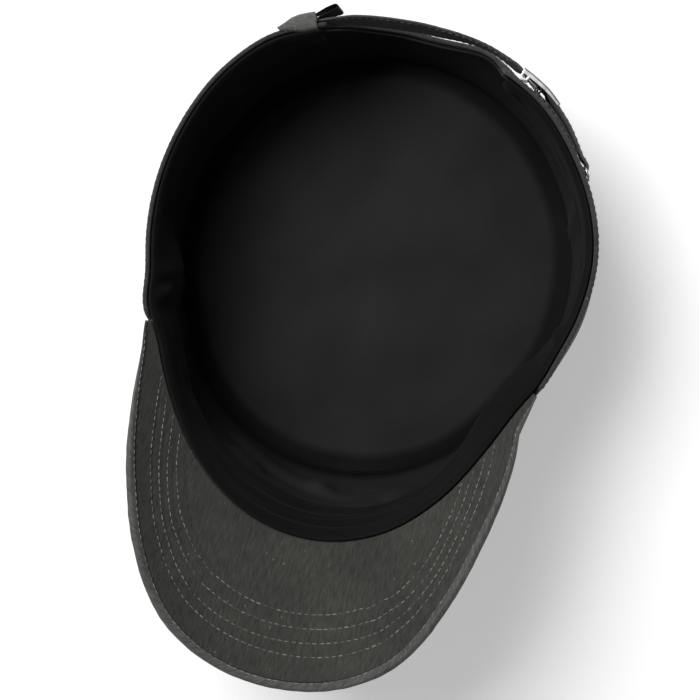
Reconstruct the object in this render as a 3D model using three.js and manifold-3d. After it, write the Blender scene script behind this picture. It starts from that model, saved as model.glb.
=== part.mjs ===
// A flat-topped military cap in cotton twill, lying upside down on its crown, the opening up.
// Millimetres, +Z up. The origin is the middle of the flat crown top, which rests on z = 0.
// The peak points along -Y. A turn is an angle about Z from the front, towards +X.
import * as THREE from "three";
import { mergeVertices } from "three/addons/utils/BufferGeometryUtils.js";
import Module from "manifold-3d";

const wasm = await Module();
wasm.setup();

// Crown
const crown_height = 86;
const rim_half_width = 85;
const rim_half_length = 102;
const top_half_width = 84;
const top_half_length = 89;
const top_shift = { x: 1.2, y: 1.8 };
const wall_bulge = 2.2;
const dent_depth = 2.6;
const shoulder = 2;
const shoulder_height = 7;

// Cloth layers
const wall_cloth = 1.8;
const lining_cloth = 1;
const band_cloth = 1.2;
const layer_gap = 0.3;
const lining_gap = 0.5;
const lining_drop = 4;
const arch_lining_drop = 2.5;
const arch_lining_ease = 10;
const band_height = 32;
const band_stand = 8;
const band_end_gap = 1.2;

// Rear opening
const arch_turn = 177.4;
const arch_half_turn = 21.8;
const arch_depth = 44;

// Peak
const corner_turn = 66.5;
const peak_reach = 74.1;
const peak_centre = { x: -2, y: -85 };
const peak_slope = 22;
const peak_arch_radius = 79;
const peak_arch_taper = 0.17;
const peak_cloth = 1.1;
const edge_width = 3;
const edge_end_width = 1.4;
const edge_proud = 0.3;
const edge_gap = 0.45;
const corner_clear = 0.6;
const lean_share = 1 / 3;
const lean_power = 6;
const narrow_power = 8;

// Strap, buckle, eyelet and tag
const strap_width = 18;
const strap_drop = 1.5;
const strap_cloth = 1;
const strap_start_turn = 209.6;
const fold_turn = 202.3;
const fold_rise = 2.2;
const fold_taper = 3.5;
const fold_step = 0.3;
const tab_cloth = 0.5;
const tab_start_turn = 130;
const wire_radius = 0.4;
const frame_turns = { from: 147.3, to: 151.3 };
const frame_rise = 0.7;
const lever_turns = { from: 141.4, bend: 145.5, to: 152.6 };
const lever_low_share = 0.81;
const lever_plate = 0.5;
const lever_side = 2.2;
const lever_taper = 0.35;
const eye_radius = 1.9;
const eyelet_turn = 125;
const eyelet_slot = 4;
const eyelet_wire = 0.5;
const eyelet_clear = 1.3;
const tag_turns = { root: 201.6, tip: 196.6 };
const tag_drop = 0.5;
const tag_width = 10;
const tag_cloth = 0.5;
const tag_lean = 2.4;
const tag_twist = 0.8;

// Mesh steps
const wall_steps = 66;
const arch_steps = 14;
const peak_steps = 40;
const peak_rows = 5;

// How full the rim is against an ellipse of the rim's half width and half length.
const rim_table = [
  { turn: 0, full: 1.047 },
  { turn: 15, full: 1.022 },
  { turn: 30, full: 0.971 },
  { turn: 45, full: 0.925 },
  { turn: 60, full: 0.916 },
  { turn: 75, full: 0.951 },
  { turn: 90, full: 1.009 },
  { turn: 105, full: 1.053 },
  { turn: 120, full: 1.049 },
  { turn: 140, full: 0.998 },
  { turn: 160, full: 0.953 },
  { turn: 180, full: 0.934 },
  { turn: 195, full: 0.958 },
  { turn: 208, full: 1.011 },
  { turn: 225, full: 1.032 },
  { turn: 240, full: 1.026 },
  { turn: 255, full: 1.012 },
  { turn: 270, full: 0.988 },
  { turn: 285, full: 0.96 },
  { turn: 300, full: 0.947 },
  { turn: 315, full: 0.965 },
  { turn: 330, full: 1.003 },
  { turn: 345, full: 1.039 },
];

// How full the crown top is against its own ellipse.
const top_table = [
  { turn: 0, full: 1 },
  { turn: 35, full: 0.985 },
  { turn: 55, full: 0.965 },
  { turn: 75, full: 0.985 },
  { turn: 120, full: 1 },
  { turn: 200, full: 1 },
  { turn: 280, full: 0.99 },
  { turn: 325, full: 1.015 },
];

// Soft dents and swells of the side wall: a share of dent_depth, inward where positive.
const dent_table = [
  { turn: 62, level: 0.45, share: 1, spread: 13, tall: 0.28 },
  { turn: 88, level: 0.7, share: -0.4, spread: 12, tall: 0.3 },
  { turn: 118, level: 0.4, share: 0.5, spread: 15, tall: 0.25 },
  { turn: 222, level: 0.55, share: 0.55, spread: 14, tall: 0.3 },
  { turn: 250, level: 0.45, share: -0.35, spread: 14, tall: 0.25 },
  { turn: 284, level: 0.62, share: 0.9, spread: 11, tall: 0.3 },
  { turn: 318, level: 0.35, share: -0.4, spread: 15, tall: 0.25 },
  { turn: 345, level: 0.5, share: 0.5, spread: 14, tall: 0.25 },
  { turn: 143, level: 1, share: -0.6, spread: 12, tall: 0.28 },
  { turn: 162, level: 0.6, share: -1.65, spread: 12, tall: 0.22 },
  { turn: 184, level: 0.48, share: -0.95, spread: 12, tall: 0.2 },
  { turn: 195, level: 0.68, share: -0.7, spread: 7, tall: 0.2 },
  { turn: 205, level: 1, share: 0.4, spread: 5, tall: 0.25 },
  { turn: 289, level: 1, share: -0.8, spread: 6.5, tall: 0.35 },
  { turn: 70, level: 1, share: -0.4, spread: 8, tall: 0.35 },
];

// How far the deep edge of the sweatband stands off the lining: a share of band_stand.
const band_table = [
  { turn: 0, share: 0.12 },
  { turn: 28, share: 0.3 },
  { turn: 46, share: 0.85 },
  { turn: 62, share: 1 },
  { turn: 76, share: 0.6 },
  { turn: 95, share: 0.2 },
  { turn: 150, share: 0.15 },
  { turn: 180, share: 0.1 },
  { turn: 215, share: 0.12 },
  { turn: 262, share: 0.25 },
  { turn: 278, share: 0.7 },
  { turn: 292, share: 0.6 },
  { turn: 312, share: 0.35 },
  { turn: 338, share: 0.2 },
];

// Reach of the peak's edge from the peak's centre on its two sides: a share of peak_reach.
const edge_table = [
  { turn: 0, left: 1.002, right: 1.002 },
  { turn: 18, left: 0.995, right: 0.993 },
  { turn: 36, left: 0.966, right: 0.96 },
  { turn: 48, left: 0.93, right: 0.919 },
  { turn: 62, left: 0.897, right: 0.88 },
  { turn: 78, left: 0.892, right: 0.877 },
  { turn: 90, left: 0.921, right: 0.908 },
  { turn: 102, left: 0.978, right: 0.976 },
  { turn: 112, left: 1.057, right: 1.057 },
  { turn: 119, left: 1.136, right: 1.128 },
];

// Where the strap runs clear of the wall: a share of the room that the buckle's tab and wire take,
// and how far its lower edge leans in under the upper one.
const strap_table = [
  { turn: strap_start_turn, share: 0, lean: 0 },
  { turn: strap_start_turn - fold_taper, share: 0, lean: 0 },
  { turn: fold_turn, share: 0, lean: 0 },
  { turn: fold_turn - fold_step, share: 0, lean: 0 },
  { turn: 197, share: 0, lean: 0 },
  { turn: 195.4, share: 0.34, lean: 2.9 },
  { turn: 193, share: 0.49, lean: 3.7 },
  { turn: 189, share: 0.55, lean: 3.5 },
  { turn: 183, share: 0.61, lean: 3.1 },
  { turn: 173, share: 0.76, lean: 3.4 },
  { turn: 165, share: 1.1, lean: 3 },
  { turn: 161, share: 1.22, lean: 2.8 },
  { turn: 157, share: 1.25, lean: 2.9 },
  { turn: 154, share: 1.25, lean: 2.9 },
  { turn: 152.7, share: 1, lean: 1.5 },
  { turn: 151.8, share: 1, lean: 0 },
  { turn: lever_turns.bend, share: 1, lean: 0 },
  { turn: 144.6, share: 0.958, lean: 1.1 },
  { turn: lever_turns.from, share: lever_low_share, lean: 0.8 },
  { turn: 136, share: 0.72, lean: 0.8 },
  { turn: 133, share: 0.5, lean: 0.4 },
  { turn: 130, share: 0.34, lean: 0.1 },
  { turn: 128.6, share: 0.34, lean: 0.4 },
  { turn: 127.2, share: 0.5, lean: 0 },
  { turn: 126.2, share: 0.51, lean: 0 },
  { turn: 125.2, share: 0, lean: 0 },
  { turn: 124.6, share: 0, lean: 0 },
];

// The top edge of the tag's ribbon, out and back: a share of the way to its tip, and how far off
// the wall it stands.
const tag_table = [
  { share: 0, out: 3 },
  { share: 0.3, out: 4.1 },
  { share: 0.6, out: 5.3 },
  { share: 0.85, out: 6.1 },
  { share: 0.97, out: 6.4 },
  { share: 1.04, out: 6.1 },
  { share: 1.02, out: 5.5 },
  { share: 0.85, out: 4.7 },
  { share: 0.6, out: 3.7 },
  { share: 0.3, out: 2.9 },
  { share: 0, out: 1.6 },
];

const radians = (degrees) => THREE.MathUtils.degToRad(degrees);
const mix = THREE.MathUtils.lerp;

// A value read from a table by a smooth curve through its rows.
function curveThrough(rows, column, turn) {
  const last = rows.length - 2;
  let i = 0;
  while (i < last && turn > rows[i + 1].turn) {
    i += 1;
  }
  const slopeAt = (k) => {
    const before = rows[Math.max(k - 1, 0)];
    const after = rows[Math.min(k + 1, rows.length - 1)];
    return (after[column] - before[column]) / (after.turn - before.turn);
  };
  const span = rows[i + 1].turn - rows[i].turn;
  const t = (turn - rows[i].turn) / span;
  const rise = rows[i + 1][column] - rows[i][column];
  const start = slopeAt(i) * span;
  const end = slopeAt(i + 1) * span;
  const bend = (start - rise) * (1 - t) - (end - rise) * t;
  return rows[i][column] + rise * t + bend * t * (1 - t);
}

// The same for a table that runs once round the cap.
function curveRound(rows, column, turn) {
  const round = ((turn % 360) + 360) % 360;
  const wrapped = [];
  for (const lap of [-360, 0, 360]) {
    for (const row of rows) {
      wrapped.push({ turn: row.turn + lap, [column]: row[column] });
    }
  }
  return curveThrough(wrapped, column, round);
}

// A value read from a table by straight lines between its rows, in falling turns.
function straightThrough(rows, column, turn) {
  for (let i = 1; i < rows.length; i += 1) {
    if (turn >= rows[i].turn) {
      const t = (rows[i - 1].turn - turn) / (rows[i - 1].turn - rows[i].turn);
      return mix(rows[i - 1][column], rows[i][column], Math.max(t, 0));
    }
  }
  return rows[rows.length - 1][column];
}

function ellipseReach(half_width, half_length, turn) {
  const side = half_length * Math.sin(radians(turn));
  const front = half_width * Math.cos(radians(turn));
  return (half_width * half_length) / Math.hypot(side, front);
}

const foldedTurn = (turn) => ((((turn + 180) % 360) + 360) % 360) - 180;

function rimReach(turn) {
  return ellipseReach(rim_half_width, rim_half_length, turn) * curveRound(rim_table, "full", turn);
}

function topReach(turn) {
  const shift = top_shift.x * Math.sin(radians(turn)) - top_shift.y * Math.cos(radians(turn));
  return ellipseReach(top_half_width, top_half_length, turn) * curveRound(top_table, "full", turn) + shift;
}

// A point of the side wall at a turn and a height, set in from its outer face.
function wallPoint(turn, height, inset) {
  const level = Math.min(height / crown_height, 1);
  let reach = mix(topReach(turn), rimReach(turn), level);
  reach += wall_bulge * Math.sin(Math.PI * level);
  for (const dent of dent_table) {
    const away = foldedTurn(turn - dent.turn) / dent.spread;
    const above = (level - dent.level) / dent.tall;
    reach -= dent_depth * dent.share * Math.exp(-away * away - above * above);
  }
  reach -= shoulder * Math.max(1 - height / shoulder_height, 0) ** 2;
  reach -= inset;
  const x = reach * Math.sin(radians(turn));
  const y = -reach * Math.cos(radians(turn));
  return new THREE.Vector3(x, y, height);
}

// The peak's underside is part of a cone: an arch across, rising towards its tip.
const seam_front = wallPoint(0, crown_height, wall_cloth);

function peakHeight(x, y) {
  const forward = seam_front.y - y;
  const radius = peak_arch_radius - peak_arch_taper * forward;
  const across = x - peak_centre.x;
  const arch = radius - Math.sqrt(radius * radius - across * across);
  return crown_height + forward * Math.tan(radians(peak_slope)) + arch;
}

function peakNormal(x, y) {
  const step = 0.5;
  const along_x = (peakHeight(x + step, y) - peakHeight(x - step, y)) / (2 * step);
  const along_y = (peakHeight(x, y + step) - peakHeight(x, y - step)) / (2 * step);
  return new THREE.Vector3(-along_x, -along_y, 1).normalize();
}

// Height of the rim: it follows the peak in front, and eases down behind the peak's corners.
function seamHeight(turn) {
  const point = wallPoint(turn, crown_height, wall_cloth);
  return peakHeight(point.x, point.y);
}

function rimHeight(turn) {
  const away = Math.abs(foldedTurn(turn));
  if (away <= corner_turn) {
    return seamHeight(turn);
  }
  const side = Math.sign(foldedTurn(turn));
  const share = (away - corner_turn) / (180 - corner_turn);
  const ease = (1 + Math.cos(Math.PI * Math.sqrt(share))) / 2;
  return mix(crown_height, seamHeight(side * corner_turn), ease);
}

// Height of the rear opening's edge, or the rim where there is no opening.
function openingHeight(turn) {
  const away = foldedTurn(turn - arch_turn) / arch_half_turn;
  if (Math.abs(away) >= 1) {
    return rimHeight(turn);
  }
  return rimHeight(turn) - arch_depth * Math.sqrt(1 - away * away);
}

// Turns of the columns round the cap: even steps, with finer ones across the rear opening
// and a close pair beside each corner of the peak, where the wall's edge steps up.
function ringTurns() {
  const turns = [];
  const start = arch_turn + arch_half_turn;
  const sweep = 360 - 2 * arch_half_turn;
  for (let i = 0; i <= wall_steps; i += 1) {
    turns.push(start + (sweep * i) / wall_steps);
  }
  for (let i = 1; i < arch_steps; i += 1) {
    const angle = (Math.PI * i) / arch_steps;
    turns.push(arch_turn - arch_half_turn * Math.cos(angle) + 360);
  }
  for (const side of [-1, 1]) {
    turns.push(360 + side * (corner_turn + corner_clear));
    turns.push(360 + side * (corner_turn + 2 * corner_clear));
  }
  return turns.sort((a, b) => a - b);
}

const peak_depth = 2 * peak_cloth + layer_gap;

// Top edge of the side wall: under the peak it makes room for the peak's layers.
function wallTop(turn) {
  if (Math.abs(foldedTurn(turn)) > corner_turn + 1.5 * corner_clear) {
    return openingHeight(turn);
  }
  const point = wallPoint(turn, crown_height, wall_cloth);
  const lean = peakNormal(point.x, point.y).z;
  return seamHeight(turn) - (peak_depth + edge_proud) / lean - 2 * layer_gap;
}

// Builds a closed body from its points and triangles, with its faces pointing out.
function bodyFrom(points, triangles) {
  let volume = 0;
  for (const [a, b, c] of triangles) {
    volume += points[a].dot(new THREE.Vector3().crossVectors(points[b], points[c]));
  }
  const index = [];
  for (const [a, b, c] of triangles) {
    index.push(...(volume > 0 ? [a, b, c] : [a, c, b]));
  }
  const geometry = new THREE.BufferGeometry().setFromPoints(points);
  geometry.setIndex(index);
  return geometry;
}

const quad = (a, b, c, d) => [[a, b, c], [a, c, d]];

// A cloth wall: an outer and an inner sheet of columns and rows, joined round its edges.
function clothWall(columns, rows, place, closed) {
  const points = [];
  for (const face of [0, 1]) {
    for (let i = 0; i < columns; i += 1) {
      for (let j = 0; j < rows; j += 1) {
        points.push(place(i, j, face));
      }
    }
  }
  const at = (face, i, j) => (face * columns + (i % columns)) * rows + j;
  const triangles = [];
  const spans = closed ? columns : columns - 1;
  const top = rows - 1;
  for (let i = 0; i < spans; i += 1) {
    for (let j = 0; j < top; j += 1) {
      triangles.push(...quad(at(0, i, j), at(0, i + 1, j), at(0, i + 1, j + 1), at(0, i, j + 1)));
      triangles.push(...quad(at(1, i, j), at(1, i, j + 1), at(1, i + 1, j + 1), at(1, i + 1, j)));
    }
    triangles.push(...quad(at(0, i + 1, 0), at(0, i, 0), at(1, i, 0), at(1, i + 1, 0)));
    triangles.push(...quad(at(0, i, top), at(0, i + 1, top), at(1, i + 1, top), at(1, i, top)));
  }
  if (!closed) {
    for (let j = 0; j < top; j += 1) {
      triangles.push(...quad(at(0, 0, j), at(0, 0, j + 1), at(1, 0, j + 1), at(1, 0, j)));
      triangles.push(...quad(at(0, spans, j + 1), at(0, spans, j), at(1, spans, j), at(1, spans, j + 1)));
    }
  }
  return bodyFrom(points, triangles);
}

// A disc with its own outline: rings from the middle of one face round to the middle of the other.
function clothDisc(turns, rings, place) {
  const points = [];
  for (const ring of rings) {
    for (const turn of turns) {
      points.push(place(turn, ring));
    }
  }
  const count = turns.length;
  const triangles = [];
  for (let r = 0; r < rings.length - 1; r += 1) {
    for (let i = 0; i < count; i += 1) {
      const next = (i + 1) % count;
      triangles.push(...quad(r * count + i, r * count + next, (r + 1) * count + next, (r + 1) * count + i));
    }
  }
  const last = (rings.length - 1) * count;
  const first_pole = points.push(new THREE.Vector3(0, 0, rings[0].height)) - 1;
  const last_pole = points.push(new THREE.Vector3(0, 0, rings[rings.length - 1].height)) - 1;
  for (let i = 0; i < count; i += 1) {
    const next = (i + 1) % count;
    triangles.push([first_pole, next, i]);
    triangles.push([last_pole, last + i, last + next]);
  }
  return bodyFrom(points, triangles);
}

// A bar of constant section: open with two flat ends, or closed on itself.
function sweptBar(stations, sides, place, closed) {
  const points = [];
  for (let i = 0; i < stations; i += 1) {
    for (let k = 0; k < sides; k += 1) {
      points.push(place(i, k));
    }
  }
  const at = (i, k) => (i % stations) * sides + (k % sides);
  const triangles = [];
  const spans = closed ? stations : stations - 1;
  for (let i = 0; i < spans; i += 1) {
    for (let k = 0; k < sides; k += 1) {
      triangles.push(...quad(at(i, k), at(i + 1, k), at(i + 1, k + 1), at(i, k + 1)));
    }
  }
  if (!closed) {
    for (let k = 1; k < sides - 1; k += 1) {
      triangles.push([at(0, 0), at(0, k), at(0, k + 1)]);
      triangles.push([at(spans, 0), at(spans, k + 1), at(spans, k)]);
    }
  }
  return bodyFrom(points, triangles);
}

// Turns a geometry into a solid that can be joined to another, and back.
function solidOf(geometry) {
  const bare = geometry.clone();
  bare.deleteAttribute("normal");
  bare.deleteAttribute("uv");
  const merged = mergeVertices(bare, 1e-4);
  const mesh = new wasm.Mesh({
    numProp: 3,
    vertProperties: new Float32Array(merged.attributes.position.array),
    triVerts: new Uint32Array(merged.index.array),
  });
  return new wasm.Manifold(mesh);
}

function geometryOf(solid) {
  const mesh = solid.getMesh();
  const geometry = new THREE.BufferGeometry();
  geometry.setAttribute("position", new THREE.BufferAttribute(mesh.vertProperties, 3));
  geometry.setIndex(new THREE.BufferAttribute(mesh.triVerts, 1));
  return geometry;
}

// A place beside the side wall: its axes are out of the wall, along the rim and up the wall.
function besideWall(turn, height, out) {
  const origin = wallPoint(turn, height, -out);
  const ahead = wallPoint(turn + 0.5, height, -out);
  const along = ahead.sub(origin).normalize();
  const above = wallPoint(turn, height + strap_width, -out);
  const outward = new THREE.Vector3().crossVectors(along, above.sub(origin)).normalize();
  const up = new THREE.Vector3().crossVectors(outward, along);
  return new THREE.Matrix4().makeBasis(outward, along, up).setPosition(origin);
}

// The turn that a short distance along the rim takes at a point of the wall.
function turnOver(distance, point) {
  return THREE.MathUtils.radToDeg(distance / Math.hypot(point.x, point.y));
}

// Materials
const twill = { color: "#4b4c48", roughness: 0.92, metalness: 0 };
const dark_lining = { color: "#1d1d20", roughness: 0.8, metalness: 0 };
const sweat_cloth = { color: "#18181c", roughness: 0.85, metalness: 0 };
const satin_steel = { color: "#b9bab8", roughness: 0.35, metalness: 1 };
const ribbon = { color: "#17171a", roughness: 0.7, metalness: 0 };

const cap = new THREE.Group();

function addPiece(name, geometry, finish) {
  const material = new THREE.MeshStandardMaterial(finish);
  const mesh = new THREE.Mesh(geometry, material);
  mesh.name = name;
  cap.add(mesh);
}

const turns = ringTurns();

// Crown top: a flat panel with a turned edge, and its lining inside.
const panel_rings = [
  { share: 0.5, height: 0, inset: 0 },
  { share: 1, height: 0, inset: 1.2 },
  { share: 1, height: 0.5 * wall_cloth, inset: 0 },
  { share: 1, height: wall_cloth, inset: 0.2 },
  { share: 0.5, height: wall_cloth, inset: 0 },
];

function panelPoint(turn, ring) {
  const edge = wallPoint(turn, wall_cloth + layer_gap, ring.inset);
  return new THREE.Vector3(edge.x * ring.share, edge.y * ring.share, ring.height);
}

addPiece("top_panel", clothDisc(turns, panel_rings, panelPoint), twill);

const lining_floor = wall_cloth + layer_gap;
const lining_inset = wall_cloth + lining_gap + layer_gap;
const lining_rings = [
  { share: 0.5, height: lining_floor, inset: lining_inset },
  { share: 1, height: lining_floor, inset: lining_inset },
  { share: 1, height: lining_floor + lining_cloth, inset: lining_inset },
  { share: 0.5, height: lining_floor + lining_cloth, inset: lining_inset },
];

addPiece("top_lining", clothDisc(turns, lining_rings, panelPoint), dark_lining);

// Side wall with the rear opening.
const wall_levels = [0, 0.04, 0.1, 0.28, 0.48, 0.68, 0.87, 1];
const wall_floor = wall_cloth + layer_gap;

const wallHeight = (turn, level) => mix(wall_floor, wallTop(turn), level);

function outerWall(i, j, face) {
  return wallPoint(turns[i], wallHeight(turns[i], wall_levels[j]), face * wall_cloth);
}

addPiece("side_wall", clothWall(turns.length, wall_levels.length, outerWall, true), twill);

// Wall lining: it stops short of the rim, behind the sweatband, and short of the opening's edge.
const lining_levels = wall_levels.slice(1);
const wall_lining_floor = lining_floor + lining_cloth + layer_gap;
const wall_lining_insets = [wall_cloth + lining_gap, wall_cloth + lining_gap + lining_cloth];

function liningTop(turn) {
  const cut = rimHeight(turn) - openingHeight(turn);
  const drop = mix(lining_drop, arch_lining_drop, Math.min(cut / arch_lining_ease, 1));
  return openingHeight(turn) - drop;
}

function innerWall(i, j, face) {
  const turn = turns[i];
  let height = wallHeight(turn, lining_levels[j]);
  if (j === 0) {
    height = wall_lining_floor;
  }
  if (j === lining_levels.length - 1) {
    height = liningTop(turn);
  }
  return wallPoint(turn, height, wall_lining_insets[face]);
}

addPiece("wall_lining", clothWall(turns.length, lining_levels.length, innerWall, true), dark_lining);

// Sweatband: one strip from one side of the rear opening round the front to the other.
const band_rows = [
  { depth: 0, rest: 0, stand: 0 },
  { depth: 0.14, rest: 1, stand: 0 },
  { depth: 0.45, rest: 1, stand: 0.4 },
  { depth: 0.75, rest: 1, stand: 0.85 },
  { depth: 1, rest: 1, stand: 1 },
];
const band_start = arch_turn + arch_half_turn + band_end_gap;
const band_end = arch_turn - arch_half_turn - band_end_gap + 360;
const between = turns.filter((turn) => turn > band_start + 1 && turn < band_end - 1);
const band_turns = [band_start, ...between, band_end];
const band_rim_inset = wall_cloth + layer_gap;
const band_deep_inset = wall_lining_insets[1] + lining_gap;

function bandPoint(i, j, face) {
  const turn = band_turns[i];
  const row = band_rows[j];
  const height = rimHeight(turn) - layer_gap - row.depth * band_height;
  const stand = band_stand * curveRound(band_table, "share", turn) * row.stand;
  const inset = mix(band_rim_inset, band_deep_inset, row.rest) + stand + face * band_cloth;
  return wallPoint(turn, height, inset);
}

addPiece("sweatband", clothWall(band_turns.length, band_rows.length, bandPoint, false), sweat_cloth);

// Peak: its edge in plan, from one corner of the rim round the tip to the other.
function cornerOf(side) {
  const corner = wallPoint(side * corner_turn, crown_height, 0);
  const across = side * (corner.x - peak_centre.x);
  const forward = peak_centre.y - corner.y;
  const turn = THREE.MathUtils.radToDeg(Math.atan2(across, forward));
  return { turn, share: Math.hypot(across, forward) / peak_reach };
}

function edgePlan(along) {
  const side = along < 0 ? -1 : 1;
  const [near, far] = along < 0 ? ["left", "right"] : ["right", "left"];
  const corner = cornerOf(side);
  const mirrored = edge_table.slice(1).reverse().map((row) => ({ turn: -row.turn, share: row[far] }));
  const own = edge_table.map((row) => ({ turn: row.turn, share: row[near] }));
  const rows = [...mirrored, ...own, corner];
  const turn = Math.abs(along) * corner.turn;
  const reach = peak_reach * curveThrough(rows, "share", turn);
  const x = peak_centre.x + side * reach * Math.sin(radians(turn));
  const y = peak_centre.y - reach * Math.cos(radians(turn));
  return new THREE.Vector3(x, y, 0);
}

// The peak's layers lie square to its underside, but upright where they enter the rim's seam.
function layerDirection(x, y, lean) {
  const normal = peakNormal(x, y);
  return new THREE.Vector3(0, 0, 1 / normal.z).lerp(normal, lean);
}

const endLean = (along) => 1 - Math.abs(along) ** lean_power;

// A place on the peak's edge: out of the edge, and the direction of the layers' thickness.
function edgeFrame(along) {
  const step = 0.004;
  const before = edgePlan(Math.max(along - step, -1));
  const after = edgePlan(Math.min(along + step, 1));
  before.z = peakHeight(before.x, before.y);
  after.z = peakHeight(after.x, after.y);
  const origin = edgePlan(along);
  origin.z = peakHeight(origin.x, origin.y);
  const normal = peakNormal(origin.x, origin.y);
  const tangent = after.sub(before).normalize();
  const outward = new THREE.Vector3().crossVectors(tangent, normal).normalize();
  const direction = layerDirection(origin.x, origin.y, endLean(along));
  return { origin, outward, direction };
}

function edgeWidth(along) {
  return mix(edge_width, edge_end_width, Math.abs(along) ** narrow_power);
}

function peakPoint(along, across, depth) {
  const seam = wallPoint(along * corner_turn, crown_height, wall_cloth);
  const frame = edgeFrame(along);
  const rim = frame.origin.addScaledVector(frame.outward, -edgeWidth(along) - edge_gap);
  const x = mix(seam.x, rim.x, across);
  const y = mix(seam.y, rim.y, across);
  const direction = layerDirection(x, y, Math.min(across / lean_share, 1) * endLean(along));
  return new THREE.Vector3(x, y, peakHeight(x, y)).addScaledVector(direction, -depth);
}

function peakLayer(depths) {
  const place = (i, j, face) => {
    const along = (2 * i) / peak_steps - 1;
    const across = j / peak_rows;
    return peakPoint(along, across, depths[face]);
  };
  return clothWall(peak_steps + 1, peak_rows + 1, place, false);
}

addPiece("peak_under_cover", peakLayer([0, peak_cloth]), twill);
addPiece("peak_upper_cover", peakLayer([peak_cloth + layer_gap, peak_depth]), twill);

// The folded strip that binds the peak's edge.
const edge_section = [
  { out: -1, depth: -0.3 },
  { out: -0.45, depth: -1 },
  { out: -0.08, depth: 0 },
  { out: 0, depth: 0.5, middle: true },
  { out: -0.08, depth: 0, far: true },
  { out: -0.45, depth: -1, far: true },
  { out: -1, depth: -0.3, far: true },
];

function edgePoint(i, k) {
  const along = (2 * i) / peak_steps - 1;
  const frame = edgeFrame(along);
  const row = edge_section[k];
  let depth = row.depth * edge_proud;
  if (row.middle) {
    depth = row.depth * peak_depth;
  }
  if (row.far) {
    depth = peak_depth - depth;
  }
  const point = frame.origin.addScaledVector(frame.outward, row.out * edgeWidth(along));
  return point.addScaledVector(frame.direction, -depth);
}

addPiece("peak_binding", sweptBar(peak_steps + 1, edge_section.length, edgePoint, false), twill);

// Strap: sewn beside the rear opening, across it, through the buckle and into the eyelet.
// It runs over the roll of the buckle's tab, in which the buckle's wire lies.
const strap_top = crown_height - strap_drop;
const strap_middle = strap_top - strap_width / 2;
const roll_radius = wire_radius + layer_gap + tab_cloth;
const frame_out = layer_gap + roll_radius;
const strap_lift = 2 * roll_radius + layer_gap;
const strap_rows = 3;

const strap_turns = [];
for (let i = 0; i < strap_table.length - 1; i += 1) {
  const span = strap_table[i].turn - strap_table[i + 1].turn;
  const pieces = Math.max(Math.round(span / 3), 1);
  for (let k = 0; k < pieces; k += 1) {
    strap_turns.push(strap_table[i].turn - (span * k) / pieces);
  }
}
strap_turns.push(strap_table[strap_table.length - 1].turn);

// The sewn end is folded back on itself, and thins to its edge.
function strapCloth(turn) {
  if (turn < fold_turn) {
    return strap_cloth;
  }
  return strap_cloth + fold_rise * Math.min((strap_start_turn - turn) / fold_taper, 1);
}

function strapPoint(i, j, face) {
  const turn = strap_turns[i];
  const down = j / (strap_rows - 1);
  const lift = strap_lift * straightThrough(strap_table, "share", turn);
  const lean = straightThrough(strap_table, "lean", turn) * down;
  const out = layer_gap + lift - lean + (1 - face) * strapCloth(turn);
  return wallPoint(turn, strap_top - strap_width * down, -out);
}

addPiece("strap", clothWall(strap_turns.length, strap_rows, strapPoint, false), twill);

// Buckle tab: sewn to the wall, its end rolled round the buckle's wire.
const tab_steps = 5;
const roll_seat = wallPoint(frame_turns.from, strap_middle, 0);
const tab_end_turn = frame_turns.from - turnOver(roll_radius - tab_cloth / 2, roll_seat);

function tabPoint(i, j, face) {
  const turn = mix(tab_start_turn, tab_end_turn, i / (tab_steps - 1));
  const height = strap_top - (strap_width * j) / (strap_rows - 1);
  return wallPoint(turn, height, -layer_gap - (1 - face) * tab_cloth);
}

const tab_sheet = clothWall(tab_steps, strap_rows, tabPoint, false);
const roll_shape = new THREE.Shape();
roll_shape.absarc(0, 0, roll_radius, 0, 2 * Math.PI);
const roll_hole = new THREE.Path();
roll_hole.absarc(0, 0, wire_radius + layer_gap, 0, 2 * Math.PI, true);
roll_shape.holes.push(roll_hole);
const roll_options = { depth: strap_width, bevelEnabled: false, curveSegments: 6 };
const roll = new THREE.ExtrudeGeometry(roll_shape, roll_options);
roll.applyMatrix4(besideWall(frame_turns.from, strap_top - strap_width, layer_gap + roll_radius));
const tab = solidOf(tab_sheet).add(solidOf(roll));
addPiece("buckle_tab", geometryOf(tab), twill);

// Buckle frame: a closed wire, one side in the tab's roll, the other in the lever's eyes.
const frame_reach = strap_width / 2 + 2 * layer_gap + wire_radius;

function wireLoop(path, radius, sides) {
  const place = (i, k) => {
    const here = path[i];
    const next = path[(i + 1) % path.length];
    const before = path[(i + path.length - 1) % path.length];
    const tangent = new THREE.Vector3().subVectors(next, before).normalize();
    const away = new THREE.Vector3(here.x, here.y, 0).normalize();
    const across = new THREE.Vector3().crossVectors(tangent, away).normalize();
    const out = new THREE.Vector3().crossVectors(across, tangent);
    const angle = (2 * Math.PI * k) / sides;
    const point = here.clone().addScaledVector(out, radius * Math.cos(angle));
    return point.addScaledVector(across, radius * Math.sin(angle));
  };
  return sweptBar(path.length, sides, place, true);
}

const frame_path = [];
const corner_share = 0.06;
const frame_corners = [corner_share, 0.5, 1 - corner_share];

function addToFrame(share, height) {
  const turn = mix(frame_turns.from, frame_turns.to, share);
  frame_path.push(wallPoint(turn, height, -frame_out - frame_rise * share));
}

for (const share of frame_corners) {
  addToFrame(share, strap_middle + frame_reach);
}
for (const share of frame_corners) {
  addToFrame(1, strap_middle + frame_reach * (1 - 2 * share));
}
for (const share of frame_corners) {
  addToFrame(1 - share, strap_middle - frame_reach);
}
for (const share of frame_corners) {
  addToFrame(0, strap_middle - frame_reach * (1 - 2 * share));
}
addPiece("buckle_frame", wireLoop(frame_path, wire_radius, 6), satin_steel);

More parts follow.
